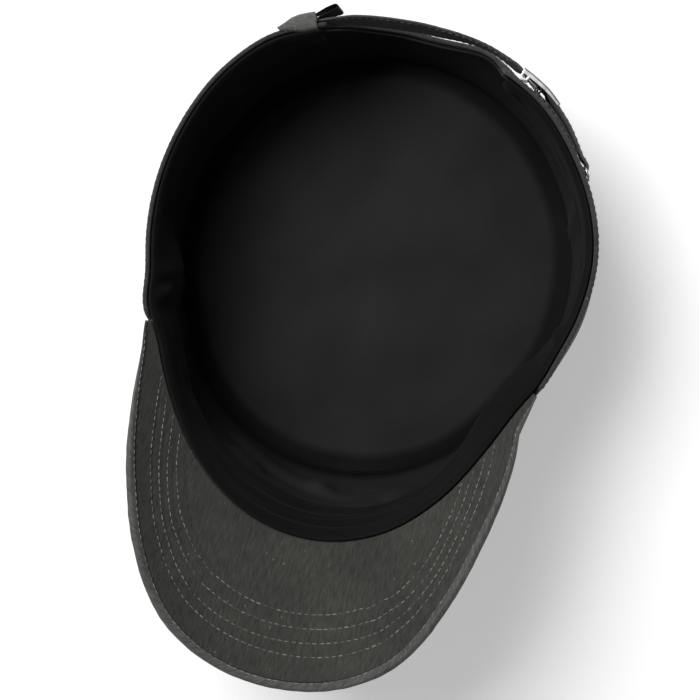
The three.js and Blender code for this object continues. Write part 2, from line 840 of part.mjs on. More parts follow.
// Buckle lever: a plate over the strap, its long sides turned down, with an ear and an eye
// at each side of the wire.
const lever_out = layer_gap + strap_lift + strap_cloth + layer_gap;
const ear_start = frame_reach + wire_radius + layer_gap;
const lever_half = ear_start + lever_plate;
const lever_steps = 5;
const lever_profile = [
  { side: -1, turned: true },
  { side: -1, turned: false },
  { side: 0, turned: false },
  { side: 1, turned: false },
  { side: 1, turned: true },
];

function leverPoint(i, j, face) {
  const share = i / (lever_steps - 1);
  const row = lever_profile[j];
  const height = strap_middle + row.side * (lever_half - face * lever_plate);
  const turn = mix(lever_turns.from, lever_turns.to, share);
  const low = Math.max((lever_turns.bend - turn) / (lever_turns.bend - lever_turns.from), 0);
  const seat = lever_out - strap_lift * (1 - lever_low_share) * low;
  let out = seat + (1 - face) * lever_plate;
  if (row.turned) {
    out = seat + lever_plate - lever_side * (1 - lever_taper * (1 - share) ** 2);
  }
  return wallPoint(turn, height, -out);
}

const eye_out = frame_out + frame_rise;
let lever = solidOf(clothWall(lever_steps, lever_profile.length, leverPoint, false));
for (const start of [strap_middle + ear_start, strap_middle - lever_half]) {
  const ear_shape = new THREE.Shape();
  const ear_rise = lever_out + lever_plate / 2 - eye_out;
  ear_shape.absarc(0, 0, eye_radius, Math.PI / 2, 1.5 * Math.PI);
  ear_shape.lineTo(ear_rise, -eye_radius);
  ear_shape.lineTo(ear_rise, eye_radius);
  const eye_hole = new THREE.Path();
  eye_hole.absarc(0, 0, wire_radius + layer_gap, 0, 2 * Math.PI, true);
  ear_shape.holes.push(eye_hole);
  const ear_options = { depth: lever_plate, bevelEnabled: false, curveSegments: 5 };
  const ear = new THREE.ExtrudeGeometry(ear_shape, ear_options);
  ear.applyMatrix4(besideWall(frame_turns.to, start, eye_out));
  lever = lever.add(solidOf(ear));
}
addPiece("buckle_lever", geometryOf(lever), satin_steel);

// Eyelet: an oval ring on the wall, round the slot that takes the strap's tail.
const eyelet_path = [];
const eyelet_steps = 20;
const eyelet_half = strap_width / 2 + eyelet_wire + eyelet_clear;
const eyelet_reach = eyelet_slot / 2 + eyelet_wire;
for (let i = 0; i < eyelet_steps; i += 1) {
  const angle = (2 * Math.PI * i) / eyelet_steps;
  const square = (value) => Math.sign(value) * Math.sqrt(Math.abs(value));
  const seat = besideWall(eyelet_turn, strap_middle, layer_gap + eyelet_wire);
  const along = eyelet_reach * square(Math.cos(angle));
  const up = eyelet_half * square(Math.sin(angle));
  eyelet_path.push(new THREE.Vector3(0, along, up).applyMatrix4(seat));
}
addPiece("eyelet", wireLoop(eyelet_path, eyelet_wire, 6), satin_steel);

// Side tag: a short ribbon folded in two beside the strap's sewn end. It leans in at the bottom.
const tag_root = wallPoint(tag_turns.root, strap_top, 0);
const tag_length = radians(tag_turns.root - tag_turns.tip) * Math.hypot(tag_root.x, tag_root.y);

function tagPoint(i, j, face) {
  const before = tag_table[Math.max(i - 1, 0)];
  const after = tag_table[Math.min(i + 1, tag_table.length - 1)];
  const along = (after.share - before.share) * tag_length;
  const rise = after.out - before.out;
  const inward = (face * tag_cloth) / Math.hypot(along, rise);
  const share = tag_table[i].share + (rise * inward) / tag_length;
  const tip = tag_turns.tip - tag_twist * j;
  const lean = tag_lean * j * share;
  const out = tag_table[i].out - along * inward - lean;
  const height = strap_top - tag_drop - tag_width * j;
  return wallPoint(mix(tag_turns.root, tip, share), height, -out);
}

const tag = clothWall(tag_table.length, 2, tagPoint, false);
addPiece("side_tag", tag, ribbon);

export default cap;
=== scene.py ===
import functools
import math
import random

import bpy
from mathutils import Matrix, Vector, kdtree, noise
from mathutils.bvhtree import BVHTree


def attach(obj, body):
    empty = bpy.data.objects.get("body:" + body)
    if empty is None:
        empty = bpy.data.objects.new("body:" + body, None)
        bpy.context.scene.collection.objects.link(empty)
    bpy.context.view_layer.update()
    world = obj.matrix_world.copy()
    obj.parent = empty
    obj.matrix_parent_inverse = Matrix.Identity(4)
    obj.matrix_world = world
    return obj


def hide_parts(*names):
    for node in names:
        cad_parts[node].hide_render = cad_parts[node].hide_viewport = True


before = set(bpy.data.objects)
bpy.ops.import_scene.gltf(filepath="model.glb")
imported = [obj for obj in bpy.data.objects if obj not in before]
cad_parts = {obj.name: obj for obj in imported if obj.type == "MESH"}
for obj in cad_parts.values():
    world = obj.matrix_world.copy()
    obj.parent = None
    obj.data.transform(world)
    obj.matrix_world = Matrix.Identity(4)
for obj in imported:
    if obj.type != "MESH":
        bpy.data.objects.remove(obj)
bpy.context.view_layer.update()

# Studio: a matt white floor under a bright, even sky, with one broad soft lamp up and to the left.
# The camera looks almost straight down into the cap, from a metre up, as the photograph does.

bpy.context.scene.view_settings.view_transform = "Standard"
camera_place = Vector((0.0434, 0.0207, 1.0014))
camera_back = Vector((0.0456, 0.0549, 0.9974)).normalized()
camera_up = Vector((-0.196, 0.9796, -0.045))
camera_lens = 123.1
floor_half = 1.5
sky_strength = 0.16
lamp_place = Vector((-0.7, 0.6, 1.75))
lamp_size = 0.9
lamp_power = 32
floor_glow = 0.36
floor_drop = 0.0002


def linear(shade):
    """A colour given as sRGB hex, turned to linear."""
    channels = [int(shade[i:i + 2], 16) / 255 for i in (1, 3, 5)]
    flat = [c / 12.92 if c <= 0.04045 else ((c + 0.055) / 1.055) ** 2.4 for c in channels]
    return (*flat, 1.0)


def add_node(tree, kind, output, inputs=None, **settings):
    """Adds a node with its settings, and gives back one of its outputs.

    An input is a value, or an output socket to link from.
    """
    node = tree.nodes.new("ShaderNode" + kind)
    for name, value in settings.items():
        setattr(node, name, value)
    for socket, value in (inputs or {}).items():
        if isinstance(value, bpy.types.NodeSocket):
            tree.links.new(value, node.inputs[socket])
        else:
            node.inputs[socket].default_value = value
    return node.outputs[output]


def new_material(name, **shader_values):
    """A material with a Principled shader whose own sockets are set."""
    material = bpy.data.materials.new(name)
    material.use_nodes = True
    shader = material.node_tree.nodes["Principled BSDF"]
    for socket, value in shader_values.items():
        shader.inputs[socket.replace("_", " ")].default_value = value
    return material, material.node_tree, shader


bpy.ops.object.camera_add()
camera = bpy.context.object
camera_side = camera_up.cross(camera_back).normalized()
camera_turn = Matrix((camera_side, camera_back.cross(camera_side), camera_back)).transposed()
camera.matrix_world = Matrix.Translation(camera_place) @ camera_turn.to_4x4()
camera.data.lens = camera_lens
camera.data.sensor_width = 36
bpy.context.scene.camera = camera

bpy.ops.object.light_add(type="AREA", location=lamp_place)
lamp = bpy.context.object
lamp.rotation_euler = (-lamp_place).to_track_quat("-Z", "Y").to_euler()
lamp.data.size = lamp_size
lamp.data.energy = lamp_power

world = bpy.data.worlds.new("studio_sky")
world.use_nodes = True
world.node_tree.nodes["Background"].inputs["Color"].default_value = (1, 1, 1, 1)
world.node_tree.nodes["Background"].inputs["Strength"].default_value = sky_strength
bpy.context.scene.world = world

floor_paint, _, _ = new_material(
    "matt_white_light_table", Base_Color=linear("#f7f7f7"), Roughness=0.9,
    Emission_Color=(1, 1, 1, 1), Emission_Strength=floor_glow,
)
bpy.ops.mesh.primitive_plane_add(size=2 * floor_half, location=(0, 0, -floor_drop))
floor = bpy.context.object
floor.name = "floor"
floor.data.materials.append(floor_paint)
bpy.ops.object.transform_apply()

# Side wall: one band of olive-grey cotton twill, 1.8 mm with its stiffening, soft but upright.
# Its rim is folded over, a deep arch is cut from it at the back, and rows of thread hold each edge.
# It is sewn to the crown panel at the bottom, where a row of topstitching runs round it.

MM = 0.001
crown_height = 86
rim_half_width, rim_half_length = 85, 102
top_half_width, top_half_length = 84, 89
top_shift_x, top_shift_y = 1.2, 1.8
wall_bulge = 2.2
dent_depth = 2.6
shoulder, shoulder_height = 2, 7
wall_cloth = 1.8
layer_gap = 0.3
arch_turn, arch_half_turn, arch_depth = 177.4, 21.8, 44
corner_turn = 66.5
corner_clear = 0.6
peak_centre_x, peak_centre_y = -2, -85
peak_slope = 22
peak_arch_radius, peak_arch_taper = 79, 0.17
peak_cloth = 1.1
edge_proud = 0.3
peak_depth = 2 * peak_cloth + layer_gap
ripple_depth = 0.45
wall_flat = (560, 84)
row_crowding = 1.15

# How full the rim is against its ellipse, by turn from the front.
rim_table = [
    (0, 1.047), (15, 1.022), (30, 0.971), (45, 0.925), (60, 0.916), (75, 0.951),
    (90, 1.009), (105, 1.053), (120, 1.049), (140, 0.998), (160, 0.953), (180, 0.934),
    (195, 0.958), (208, 1.011), (225, 1.032), (240, 1.026), (255, 1.012), (270, 0.988),
    (285, 0.96), (300, 0.947), (315, 0.965), (330, 1.003), (345, 1.039),
]
top_table = [
    (0, 1), (35, 0.985), (55, 0.965), (75, 0.985), (120, 1), (200, 1), (280, 0.99), (325, 1.015),
]
# Dents and swells: turn, level up the wall, share of the dent's depth, spread and height.
dent_table = [
    (62, 0.45, 1, 13, 0.28), (88, 0.7, -0.4, 12, 0.3), (118, 0.4, 0.5, 15, 0.25),
    (222, 0.55, 0.55, 14, 0.3), (250, 0.45, -0.35, 14, 0.25), (284, 0.62, 0.9, 11, 0.3),
    (318, 0.35, -0.4, 15, 0.25), (345, 0.5, 0.5, 14, 0.25), (143, 1, -0.6, 12, 0.28),
    (162, 0.6, -1.65, 12, 0.22), (184, 0.48, -0.95, 12, 0.2), (195, 0.68, -0.7, 7, 0.2),
    (205, 1, 0.4, 5, 0.25), (289, 1, -0.8, 6.5, 0.35), (70, 1, -0.4, 8, 0.35),
]


def mix(a, b, t):
    return a + (b - a) * t


def curve_through(rows, turn):
    """A value read from a table by a smooth curve through its rows."""
    last = len(rows) - 2
    i = 0
    while i < last and turn > rows[i + 1][0]:
        i += 1

    def slope(k):
        before, after = rows[max(k - 1, 0)], rows[min(k + 1, len(rows) - 1)]
        return (after[1] - before[1]) / (after[0] - before[0])

    span = rows[i + 1][0] - rows[i][0]
    t = (turn - rows[i][0]) / span
    rise = rows[i + 1][1] - rows[i][1]
    bend = (slope(i) * span - rise) * (1 - t) - (slope(i + 1) * span - rise) * t
    return rows[i][1] + rise * t + bend * t * (1 - t)


def curve_round(rows, turn):
    """The same for a table that runs once round the cap."""
    wrapped = [(at + lap, value) for lap in (-360, 0, 360) for at, value in rows]
    return curve_through(wrapped, turn % 360)


def folded(turn):
    return (turn + 180) % 360 - 180


def way_of(turn):
    """Across and back parts of a unit step towards a turn, which is 0 in front."""
    return math.sin(math.radians(turn)), -math.cos(math.radians(turn))


def ellipse_reach(half_width, half_length, turn):
    across, back = way_of(turn)
    return half_width * half_length / math.hypot(half_length * across, half_width * back)


@functools.cache
def reaches(turn):
    """Reach of the rim and of the crown's top at a turn."""
    rim = ellipse_reach(rim_half_width, rim_half_length, turn) * curve_round(rim_table, turn)
    top = ellipse_reach(top_half_width, top_half_length, turn) * curve_round(top_table, turn)
    across, back = way_of(turn)
    return rim, top + top_shift_x * across + top_shift_y * back


def wall_point(turn, height, inset):
    """A point of the wall at a turn and a height, set in from its outer face, in millimetres."""
    turn = round(turn, 5)
    level = min(height / crown_height, 1)
    rim, top = reaches(turn)
    reach = mix(top, rim, level) + wall_bulge * math.sin(math.pi * level)
    for dent_turn, dent_level, share, spread, tall in dent_table:
        away = folded(turn - dent_turn) / spread
        above = (level - dent_level) / tall
        reach -= dent_depth * share * math.exp(-away * away - above * above)
    reach -= shoulder * max(1 - height / shoulder_height, 0) ** 2
    way_x, way_y = way_of(turn)
    ripple = noise.noise(Vector((way_x * 3.1, way_y * 3.1, level * 2.2)))
    ripple += 0.5 * noise.noise(Vector((way_x * 8, way_y * 8, 7 + level * 4)))
    reach += ripple_depth * ripple * math.sin(math.pi * level) - inset
    return Vector((reach * way_x, reach * way_y, height))


seam_front_y = wall_point(0, crown_height, wall_cloth).y


def peak_height(x, y):
    """Height of the peak's underside, which is part of a cone."""
    forward = seam_front_y - y
    radius = peak_arch_radius - peak_arch_taper * forward
    across = x - peak_centre_x
    arch = radius - math.sqrt(max(radius * radius - across * across, 1))
    return crown_height + forward * math.tan(math.radians(peak_slope)) + arch


def peak_normal(x, y):
    along_x = peak_height(x + 0.5, y) - peak_height(x - 0.5, y)
    along_y = peak_height(x, y + 0.5) - peak_height(x, y - 0.5)
    return Vector((-along_x, -along_y, 1)).normalized()


@functools.cache
def seam_height(turn):
    point = wall_point(turn, crown_height, wall_cloth)
    return peak_height(point.x, point.y)


def rim_height(turn):
    """Height of the rim: along the peak's seam in front, easing down behind its corners."""
    away = abs(folded(turn))
    if away <= corner_turn:
        return seam_height(turn)
    side = math.copysign(1, folded(turn))
    share = (away - corner_turn) / (180 - corner_turn)
    ease = (1 + math.cos(math.pi * math.sqrt(share))) / 2
    return mix(crown_height, seam_height(side * corner_turn), ease)


def opening_height(turn):
    away = folded(turn - arch_turn) / arch_half_turn
    if abs(away) >= 1:
        return rim_height(turn)
    return rim_height(turn) - arch_depth * math.sqrt(1 - away * away)


def wall_top(turn):
    """Top edge of the side wall: under the peak it makes room for the peak's layers."""
    if abs(folded(turn)) > corner_turn + 1.5 * corner_clear:
        return opening_height(turn)
    point = wall_point(turn, crown_height, wall_cloth)
    lean = peak_normal(point.x, point.y).z
    return seam_height(turn) - (peak_depth + edge_proud) / lean - 2 * layer_gap


round_columns, arch_columns = 208, 32
ring_start = arch_turn + arch_half_turn


def ring_turn(u):
    """Turn of a column at a share of the way round, with close columns across the arch."""
    place = u * (round_columns + arch_columns)
    if place <= round_columns:
        return ring_start + (360 - 2 * arch_half_turn) * place / round_columns
    angle = math.pi * (place - round_columns) / arch_columns
    return arch_turn + 360 - arch_half_turn * math.cos(angle)


def only(piece):
    """Makes a piece the only selected and active object."""
    bpy.ops.object.select_all(action="DESELECT")
    piece.select_set(True)
    bpy.context.view_layer.objects.active = piece


def shaped_grid(name, columns, rows, place, size=(1, 1), flat=None):
    """A grid whose points are moved one by one to place(u, v); its UV map is in millimetres."""
    bpy.ops.object.select_all(action="DESELECT")
    bpy.ops.mesh.primitive_grid_add(x_subdivisions=columns, y_subdivisions=rows, size=2, calc_uvs=True)
    piece = bpy.context.object
    piece.name = piece.data.name = name
    for vertex in piece.data.vertices:
        vertex.co = place(vertex.co.x / 2 + 0.5, vertex.co.y / 2 + 0.5) * MM
    for loop, cut in zip(piece.data.loops, piece.data.uv_layers.active.data):
        if flat:
            cut.uv = piece.data.vertices[loop.vertex_index].co.xy / MM
        else:
            cut.uv = (cut.uv[0] * size[0], cut.uv[1] * size[1])
    bpy.ops.object.mode_set(mode="EDIT")
    bpy.ops.mesh.select_all(action="SELECT")
    bpy.ops.mesh.remove_doubles(threshold=1e-6)
    bpy.ops.object.mode_set(mode="OBJECT")
    bpy.ops.object.shade_smooth()
    return piece


def add_modifier(piece, kind, **settings):
    """Adds a modifier and applies it."""
    only(piece)
    modifier = piece.modifiers.new(kind.lower(), kind)
    for name, value in settings.items():
        setattr(modifier, name, value)
    bpy.ops.object.modifier_apply(modifier=modifier.name)


def thicken(piece, cloth, rounds=1):
    """Gives a sheet its cloth's thickness, inwards, and rounds its folded edges."""
    add_modifier(piece, "SOLIDIFY", thickness=cloth * MM, offset=-1)
    if rounds:
        add_modifier(piece, "SUBSURF", levels=rounds, render_levels=rounds)


def wall_place(u, v):
    turn = ring_turn(u)
    level = 1 - (1 - v) ** row_crowding
    return wall_point(turn, mix(wall_cloth + layer_gap, wall_top(turn), level), 0)


side_wall = shaped_grid("side_wall_twill", round_columns + arch_columns, 26, wall_place, wall_flat)
thicken(side_wall, wall_cloth)


def twill_material(name, dark, light, wale, turned):
    """Cotton drill: fine ribs of slubby yarn, faded in patches, slightly fuzzy, with pale lint.

    The wave texture repeats every 0.314 units at scale 1, so that over the wale gives the ribs.
    """
    material, tree, shader = new_material(
        name, Roughness=0.92, Sheen_Weight=0.1, Sheen_Roughness=0.6, Specular_IOR_Level=0.2
    )
    node = functools.partial(add_node, tree)
    flat_cloth = node("UVMap", "UV", uv_map="UVMap")
    turned_cloth = node(
        "Mapping", "Vector", {"Vector": flat_cloth, "Rotation": (0, 0, math.radians(turned))}
    )
    ribs = node(
        "TexWave", "Fac",
        {"Vector": turned_cloth, "Scale": 0.314 / wale, "Distortion": 2.5, "Detail": 2,
         "Detail Scale": 1.3},
    )
    long_yarn = node("Mapping", "Vector", {"Vector": turned_cloth, "Scale": (1, 0.2, 1)})
    slubs, fading, fuzz = (
        node("TexNoise", "Fac", {"Vector": yarn, "Scale": scale, "Detail": 3, "Roughness": rough})
        for yarn, scale, rough in ((long_yarn, 1.1, 0.6), (flat_cloth, 0.03, 0.5), (flat_cloth, 2.6, 0.8))
    )
    weave = node("Math", 0, {0: ribs, 1: 0.14}, operation="MULTIPLY")
    for fibre, amount in ((slubs, 0.8), (fuzz, 0.5)):
        weave = node("Math", 0, {0: fibre, 1: amount, 2: weave}, operation="MULTIPLY_ADD")
    shade = node("MapRange", "Result", {"Value": weave, "From Min": 0.5, "From Max": 0.95})
    cloth = node("Mix", 2, {"Factor": shade, "A": linear(dark), "B": linear(light)}, data_type="RGBA")
    tint = node(
        "MapRange", "Result",
        {"Value": fading, "From Min": 0.35, "From Max": 0.65, "To Min": 0.86, "To Max": 1.12},
    )
    faded = node("VectorMath", 0, {0: cloth, "Scale": tint}, operation="SCALE")
    spots = node("TexVoronoi", "Distance", {"Vector": flat_cloth, "Scale": 0.28})
    chance = node("SeparateColor", "Red", {"Color": spots.node.outputs["Color"]})
    kept = node("Math", 0, {0: chance, 1: 0.7}, operation="GREATER_THAN")
    lint = node(
        "MapRange", "Result",
        {"Value": spots, "From Min": 0.03, "From Max": 0.13, "To Min": 0.5, "To Max": 0},
    )
    lint = node("Math", 0, {0: lint, 1: kept}, operation="MULTIPLY")
    worn = node("Mix", 2, {"Factor": lint, "A": faded, "B": linear("#8e8e88")}, data_type="RGBA")
    tree.links.new(worn, shader.inputs["Base Color"])
    bump = node("Bump", "Normal", {"Height": weave, "Strength": 0.4, "Distance": 0.0002})
    tree.links.new(bump, shader.inputs["Normal"])
    return material


# The ribs of the real drill are about 0.6 mm apart; they are drawn at 0.85 mm, the finest that shows.
wall_twill = twill_material("olive_grey_drill", "#2c2c2b", "#4a4a48", 0.85, 27)
side_wall.data.materials.append(wall_twill)
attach(side_wall, "root")
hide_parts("side_wall")

# Sewing thread: grey polyester-cotton in lockstitches about 2.5 mm long. The real one is 0.4 mm
# thick; it is drawn a little thicker, so that it shows. One stitch is modelled, its ends drawn down
# into the cloth, and copied along each row.

stitch_length = 2.55
stitch_pitch = 2.7
thread_width = 0.46
thread_sink = 0.28
thread_proud = 0.05
needle_reach = 3
row_samples = 300

bpy.ops.object.select_all(action="DESELECT")
bpy.ops.mesh.primitive_uv_sphere_add(segments=6, ring_count=6, radius=0.5, rotation=(0, math.pi / 2, 0))
stitch = bpy.context.object
bpy.ops.object.transform_apply()
for vertex in stitch.data.vertices:
    along = vertex.co.x * 2
    vertex.co.y *= thread_width
    vertex.co.z = vertex.co.z * thread_width * 0.8 - thread_sink * along * along
    vertex.co.x *= stitch_length
bpy.ops.object.shade_smooth()


def thread_material(name, dark, light):
    """Spun sewing thread: a soft, slightly uneven shade from stitch to stitch."""
    material, tree, shader = new_material(name, Roughness=0.75, Sheen_Weight=0.2)
    node = functools.partial(add_node, tree)
    here = node("TexCoord", "Object")
    spots = node("TexNoise", "Fac", {"Vector": here, "Scale": 260, "Detail": 2})
    shade = node("MapRange", "Result", {"Value": spots, "From Min": 0.35, "From Max": 0.65})
    tone = node("Mix", 2, {"Factor": shade, "A": linear(dark), "B": linear(light)}, data_type="RGBA")
    tree.links.new(tone, shader.inputs["Base Color"])
    return material


grey_thread = thread_material("grey_sewing_thread", "#4c4c49", "#8d8d88")
surfaces = {}


def surface_of(piece):
    """The faces of a piece, for finding where a needle meets the cloth."""
    if piece.name not in surfaces:
        points = [vertex.co.copy() for vertex in piece.data.vertices]
        faces = [tuple(face.vertices) for face in piece.data.polygons]
        surfaces[piece.name] = BVHTree.FromPolygons(points, faces)
    return surfaces[piece.name]


def sew(name, path, cloth, pitch=stitch_pitch):
    """Sews a row on a cloth along path(t), which gives a point near it and its way out."""
    dice = random.Random(name)
    surface = surface_of(cloth)
    samples = []
    for i in range(row_samples + 1):
        point, normal = path(i / row_samples)
        hit = surface.ray_cast((point + normal * needle_reach) * MM, -normal, 2 * needle_reach * MM)[0]
        samples.append((hit / MM if hit else point, normal))
    run = [0.0]
    for (here, _), (there, _) in zip(samples, samples[1:]):
        run.append(run[-1] + (there - here).length)
    count = max(round(run[-1] / pitch), 1)
    step = run[-1] / count
    copies = []
    k = 0
    for i in range(count):
        middle = (i + 0.5) * step + dice.uniform(-0.1, 0.1)
        while k < row_samples - 1 and run[k + 1] < middle:
            k += 1
        (here, normal), (there, _) = samples[k], samples[k + 1]
        share = (middle - run[k]) / max(run[k + 1] - run[k], 1e-6)
        first, last = samples[max(k - 1, 0)][0], samples[min(k + 2, row_samples)][0]
        along = (last - first).normalized()
        across = normal.cross(along).normalized()
        along = (along + across * dice.uniform(-0.06, 0.06)).normalized()
        up = along.cross(normal.cross(along)).normalized()
        place = here.lerp(there, share) + up * (thread_proud + dice.uniform(-0.03, 0.05))
        stretch = step / stitch_pitch * dice.uniform(0.9, 1.06)
        scale = Matrix.Diagonal((stretch, dice.uniform(0.85, 1.15), 1))
        turn = Matrix((along, up.cross(along), up)).transposed() @ scale
        copy = stitch.copy()
        copy.data = stitch.data.copy()
        copy.data.transform(Matrix.Scale(MM, 4) @ Matrix.Translation(place) @ turn.to_4x4())
        bpy.context.collection.objects.link(copy)
        copies.append(copy)
    only(copies[0])
    for copy in copies:
        copy.select_set(True)
    if len(copies) > 1:
        bpy.ops.object.join()
    row = bpy.context.object
    row.name = row.data.name = name
    row.data.materials.clear()
    row.data.materials.append(grey_thread)
    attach(row, "root")


side_clear = corner_turn + 2
arch_clear = arch_half_turn + 1.5
rim_row_drop, arch_row_drop = 2.2, 1.5
arch_rows_out = (1.6, 6.8)
seam_row_height = 4.4


def wall_normal(turn, height):
    here = wall_point(turn, height, 0)
    ahead = wall_point(turn + 0.5, height, 0) - here
    above = wall_point(turn, height + 1, 0) - here
    return ahead.cross(above).normalized()


def wall_row(start, end, below):
    """A row on the wall's outer face, a distance below its top edge."""
    def path(t):
        turn = mix(start, end, t)
        height = wall_top(turn) - below
        return wall_point(turn, height, 0), wall_normal(turn, height)
    return path


def arch_row(outside):
    """A row round the rear arch on the wall's outer face, a distance outside the arch's edge."""
    def path(t):
        angle = math.pi * mix(0.02, 0.98, t)
        reach = math.hypot(*wall_point(arch_turn, crown_height - arch_depth, 0).xy)
        half = arch_half_turn + math.degrees(outside / reach)
        turn = arch_turn - half * math.cos(angle)
        drop = mix(arch_row_drop, arch_depth + outside, math.sin(angle))
        height = rim_height(turn) - drop
        return wall_point(turn, height, 0), wall_normal(turn, height)
    return path


def crown_seam_row(t):
    return wall_point(360 * t, seam_row_height, 0), wall_normal(360 * t, seam_row_height)


sew("rim_stitches_right", wall_row(side_clear, arch_turn - arch_clear, rim_row_drop), side_wall)
sew("rim_stitches_left", wall_row(arch_turn + arch_clear, 360 - side_clear, rim_row_drop), side_wall)
sew("arch_stitches_near", arch_row(arch_rows_out[0]), side_wall)
sew("arch_stitches_far", arch_row(arch_rows_out[1]), side_wall)
sew("crown_seam_stitches", crown_seam_row, side_wall)

# Crown panel: a flat oval of the same twill, its edge turned up into the seam with the side wall.
# The cap lies on it, upside down. A row of topstitching runs just inside its edge.


def along_section(section, share):
    """The row of values at a share of the way through a section's rows, by straight lines."""
    at = min(share * (len(section) - 1), len(section) - 1 - 1e-6)
    k = int(at)
    return [mix(a, b, at - k) for a, b in zip(section[k], section[k + 1])]


def disc(name, profile, place_ring, columns, steps):
    """A flat round cloth: rings from the middle of its lower face round its edge to the upper."""
    def place(u, v):
        return place_ring(u * 360, along_section(profile, v))
    return shaped_grid(name, columns, steps * (len(profile) - 1), place, flat=True)


def point_outwards(piece):
    """Recalculates a closed piece's normals."""
    only(piece)
    bpy.ops.object.mode_set(mode="EDIT")
    bpy.ops.mesh.select_all(action="SELECT")
    bpy.ops.mesh.normals_make_consistent(inside=False)
    bpy.ops.object.mode_set(mode="OBJECT")


def panel_ring(turn, ring):
    share, height, inset = ring
    edge = wall_point(turn, wall_cloth + layer_gap, inset)
    return Vector((edge.x * share, edge.y * share, height))


# From the middle of the lower face outwards and back: share of the reach, height, and inset.
panel_section = [
    (0, 0, 0), (0.9, 0, 0), (1, 0, 1.5), (1, 0.5, 0.3), (1, 1.1, 0), (1, wall_cloth, 0.3),
    (0.9, wall_cloth, 0), (0, wall_cloth, 0),
]
top_panel = disc("crown_panel_twill", panel_section, panel_ring, 240, 4)
point_outwards(top_panel)
top_panel.data.materials.append(wall_twill)
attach(top_panel, "root")
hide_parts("top_panel")

# Crown lining: thin black polyester over the inside of the crown panel, caught in the same seam.
# It lies loosely, so it rises and sinks by a millimetre or so between the seams.

lining_cloth = 1
lining_gap = 0.5
lining_floor = wall_cloth + layer_gap
lining_inset = wall_cloth + lining_gap + layer_gap
lining_tuck = 0.8
lining_rise, lining_swell = 0.7, 1.3


def lining_ring(turn, ring):
    share, height, inset = ring
    edge = wall_point(turn, lining_floor, lining_inset + inset)
    x, y = edge.x * share, edge.y * share
    loose = max(1 - share ** 16, 0)
    swell = noise.noise(Vector((x, y, 5)) * 0.018) + 0.4 * noise.noise(Vector((x, y, 60)) * 0.05)
    rise = loose * (lining_rise + lining_swell * swell) if height > lining_floor else 0
    return Vector((x, y, height + max(rise, 0)))


def shade_seam(piece, measure, light_at, dark_at):
    """Marks how deep each point lies in the shade of a seam's fold, as an attribute; the lining's colour is
    darkened by it, as painted shade.
    """
    shade = piece.data.attributes.new("seam_shade", "FLOAT", "POINT")
    for vertex, value in zip(piece.data.vertices, shade.data):
        depth = (measure(*(vertex.co / MM)) - light_at) / (dark_at - light_at)
        value.value = min(max(depth, 0), 1)


def lining_material(name, dark, light, rough):
    """Woven lining: very dark, with a faint satin sheen and a hardly visible weave. Where a piece carries
    seam_shade, its colour is darkened to near-black: painted shade of the seam's fold.
    """
    material, tree, shader = new_material(
        name, Roughness=rough, Sheen_Weight=0.02, Sheen_Roughness=0.5, Specular_IOR_Level=0.12
    )
    node = functools.partial(add_node, tree)
    here = node("TexCoord", "Object")
    clouds = node("TexNoise", "Fac", {"Vector": here, "Scale": 28, "Detail": 4})
    threads = node("TexNoise", "Fac", {"Vector": here, "Scale": 1500, "Detail": 1})
    shade = node("MapRange", "Result", {"Value": clouds, "From Min": 0.3, "From Max": 0.7})
    tone = node("Mix", 2, {"Factor": shade, "A": linear(dark), "B": linear(light)}, data_type="RGBA")
    seam = node("Attribute", "Fac", attribute_name="seam_shade")
    # seam_shade darkens the colour towards #08080a: painted shade in the fold of the seam.
    painted_seam_shade = node("Mix", 2, {"Factor": seam, "A": tone, "B": linear("#08080a")}, data_type="RGBA")
    tree.links.new(painted_seam_shade, shader.inputs["Base Color"])
    bump = node("Bump", "Normal", {"Height": threads, "Strength": 0.2, "Distance": 0.0001})
    tree.links.new(bump, shader.inputs["Normal"])
    return material


def lining_share(x, y, z):
    """Share of the crown lining's reach at a place."""
    edge = wall_point(math.degrees(math.atan2(x, -y)), lining_floor, lining_inset)
    return math.hypot(x, y) / math.hypot(*edge.xy)


lining_ceiling = lining_floor + lining_cloth
lining_section = [
    (0, lining_floor, 0), (0.9, lining_floor, 0), (1, lining_floor, -lining_tuck),
    (1, lining_ceiling, -lining_tuck), (0.9, lining_ceiling, 0), (0, lining_ceiling, 0),
]
top_lining = disc("crown_lining", lining_section, lining_ring, 160, 14)
# The lining's outer ring is marked for painted shade, darker towards its edge at the crown seam.
shade_seam(top_lining, lining_share, 0.9, 0.945)
point_outwards(top_lining)
black_lining = lining_material("black_polyester_lining", "#1c1c1d", "#262626", 0.62)
top_lining.data.materials.append(black_lining)
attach(top_lining, "root")
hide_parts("top_lining")

# Wall lining: the same black polyester inside the side wall, from the crown seam to the rim.
# Long soft folds run slantwise down it, most of them in front, where it is a little too full.

lining_drop, arch_lining_drop, arch_lining_ease = 4, 2.5, 10
wall_lining_floor = lining_ceiling + layer_gap
fold_fade = 5
# Folds of the wall lining: from a turn and height to another, how far each stands off, and its width.
fold_table = [
    (334, 24, 358, 32, 4, 2.2), (358, 32, 384, 44, 3.6, 2.4), (336, 45, 372, 43, 2.6, 3.2),
    (333, 47, 341, 41, 3.2, 2.2), (290, 56, 283, 6, 3.5, 3.5), (300, 60, 297, 12, 2, 4),
    (89, 62, 79, 20, 3.5, 3), (70, 50, 58, 12, 2.4, 4), (224, 60, 236, 10, 2, 5), (120, 60, 112, 14, 2, 5),
    (26, 52, 10, 26, 2, 3),
]


def fold_stand(turn, height):
    """How far the folds lift the lining at a place."""
    stand = 0
    reach = reaches(round(turn, 5))[0]
    for start, low, end, high, rise, width in fold_table:
        middle = (start + end) / 2
        run = (end - start) * math.radians(1) * reach
        along = (middle + folded(turn - middle) - start) * math.radians(1) * reach
        up, tall = height - low, high - low
        length = run * run + tall * tall
        share = (along * run + up * tall) / length
        away = (along * tall - up * run) / math.sqrt(length) / width
        past = max(-share, share - 1, 0) * math.sqrt(length) / fold_fade
        stand += rise * math.exp(-away * away - past * past)
    return stand


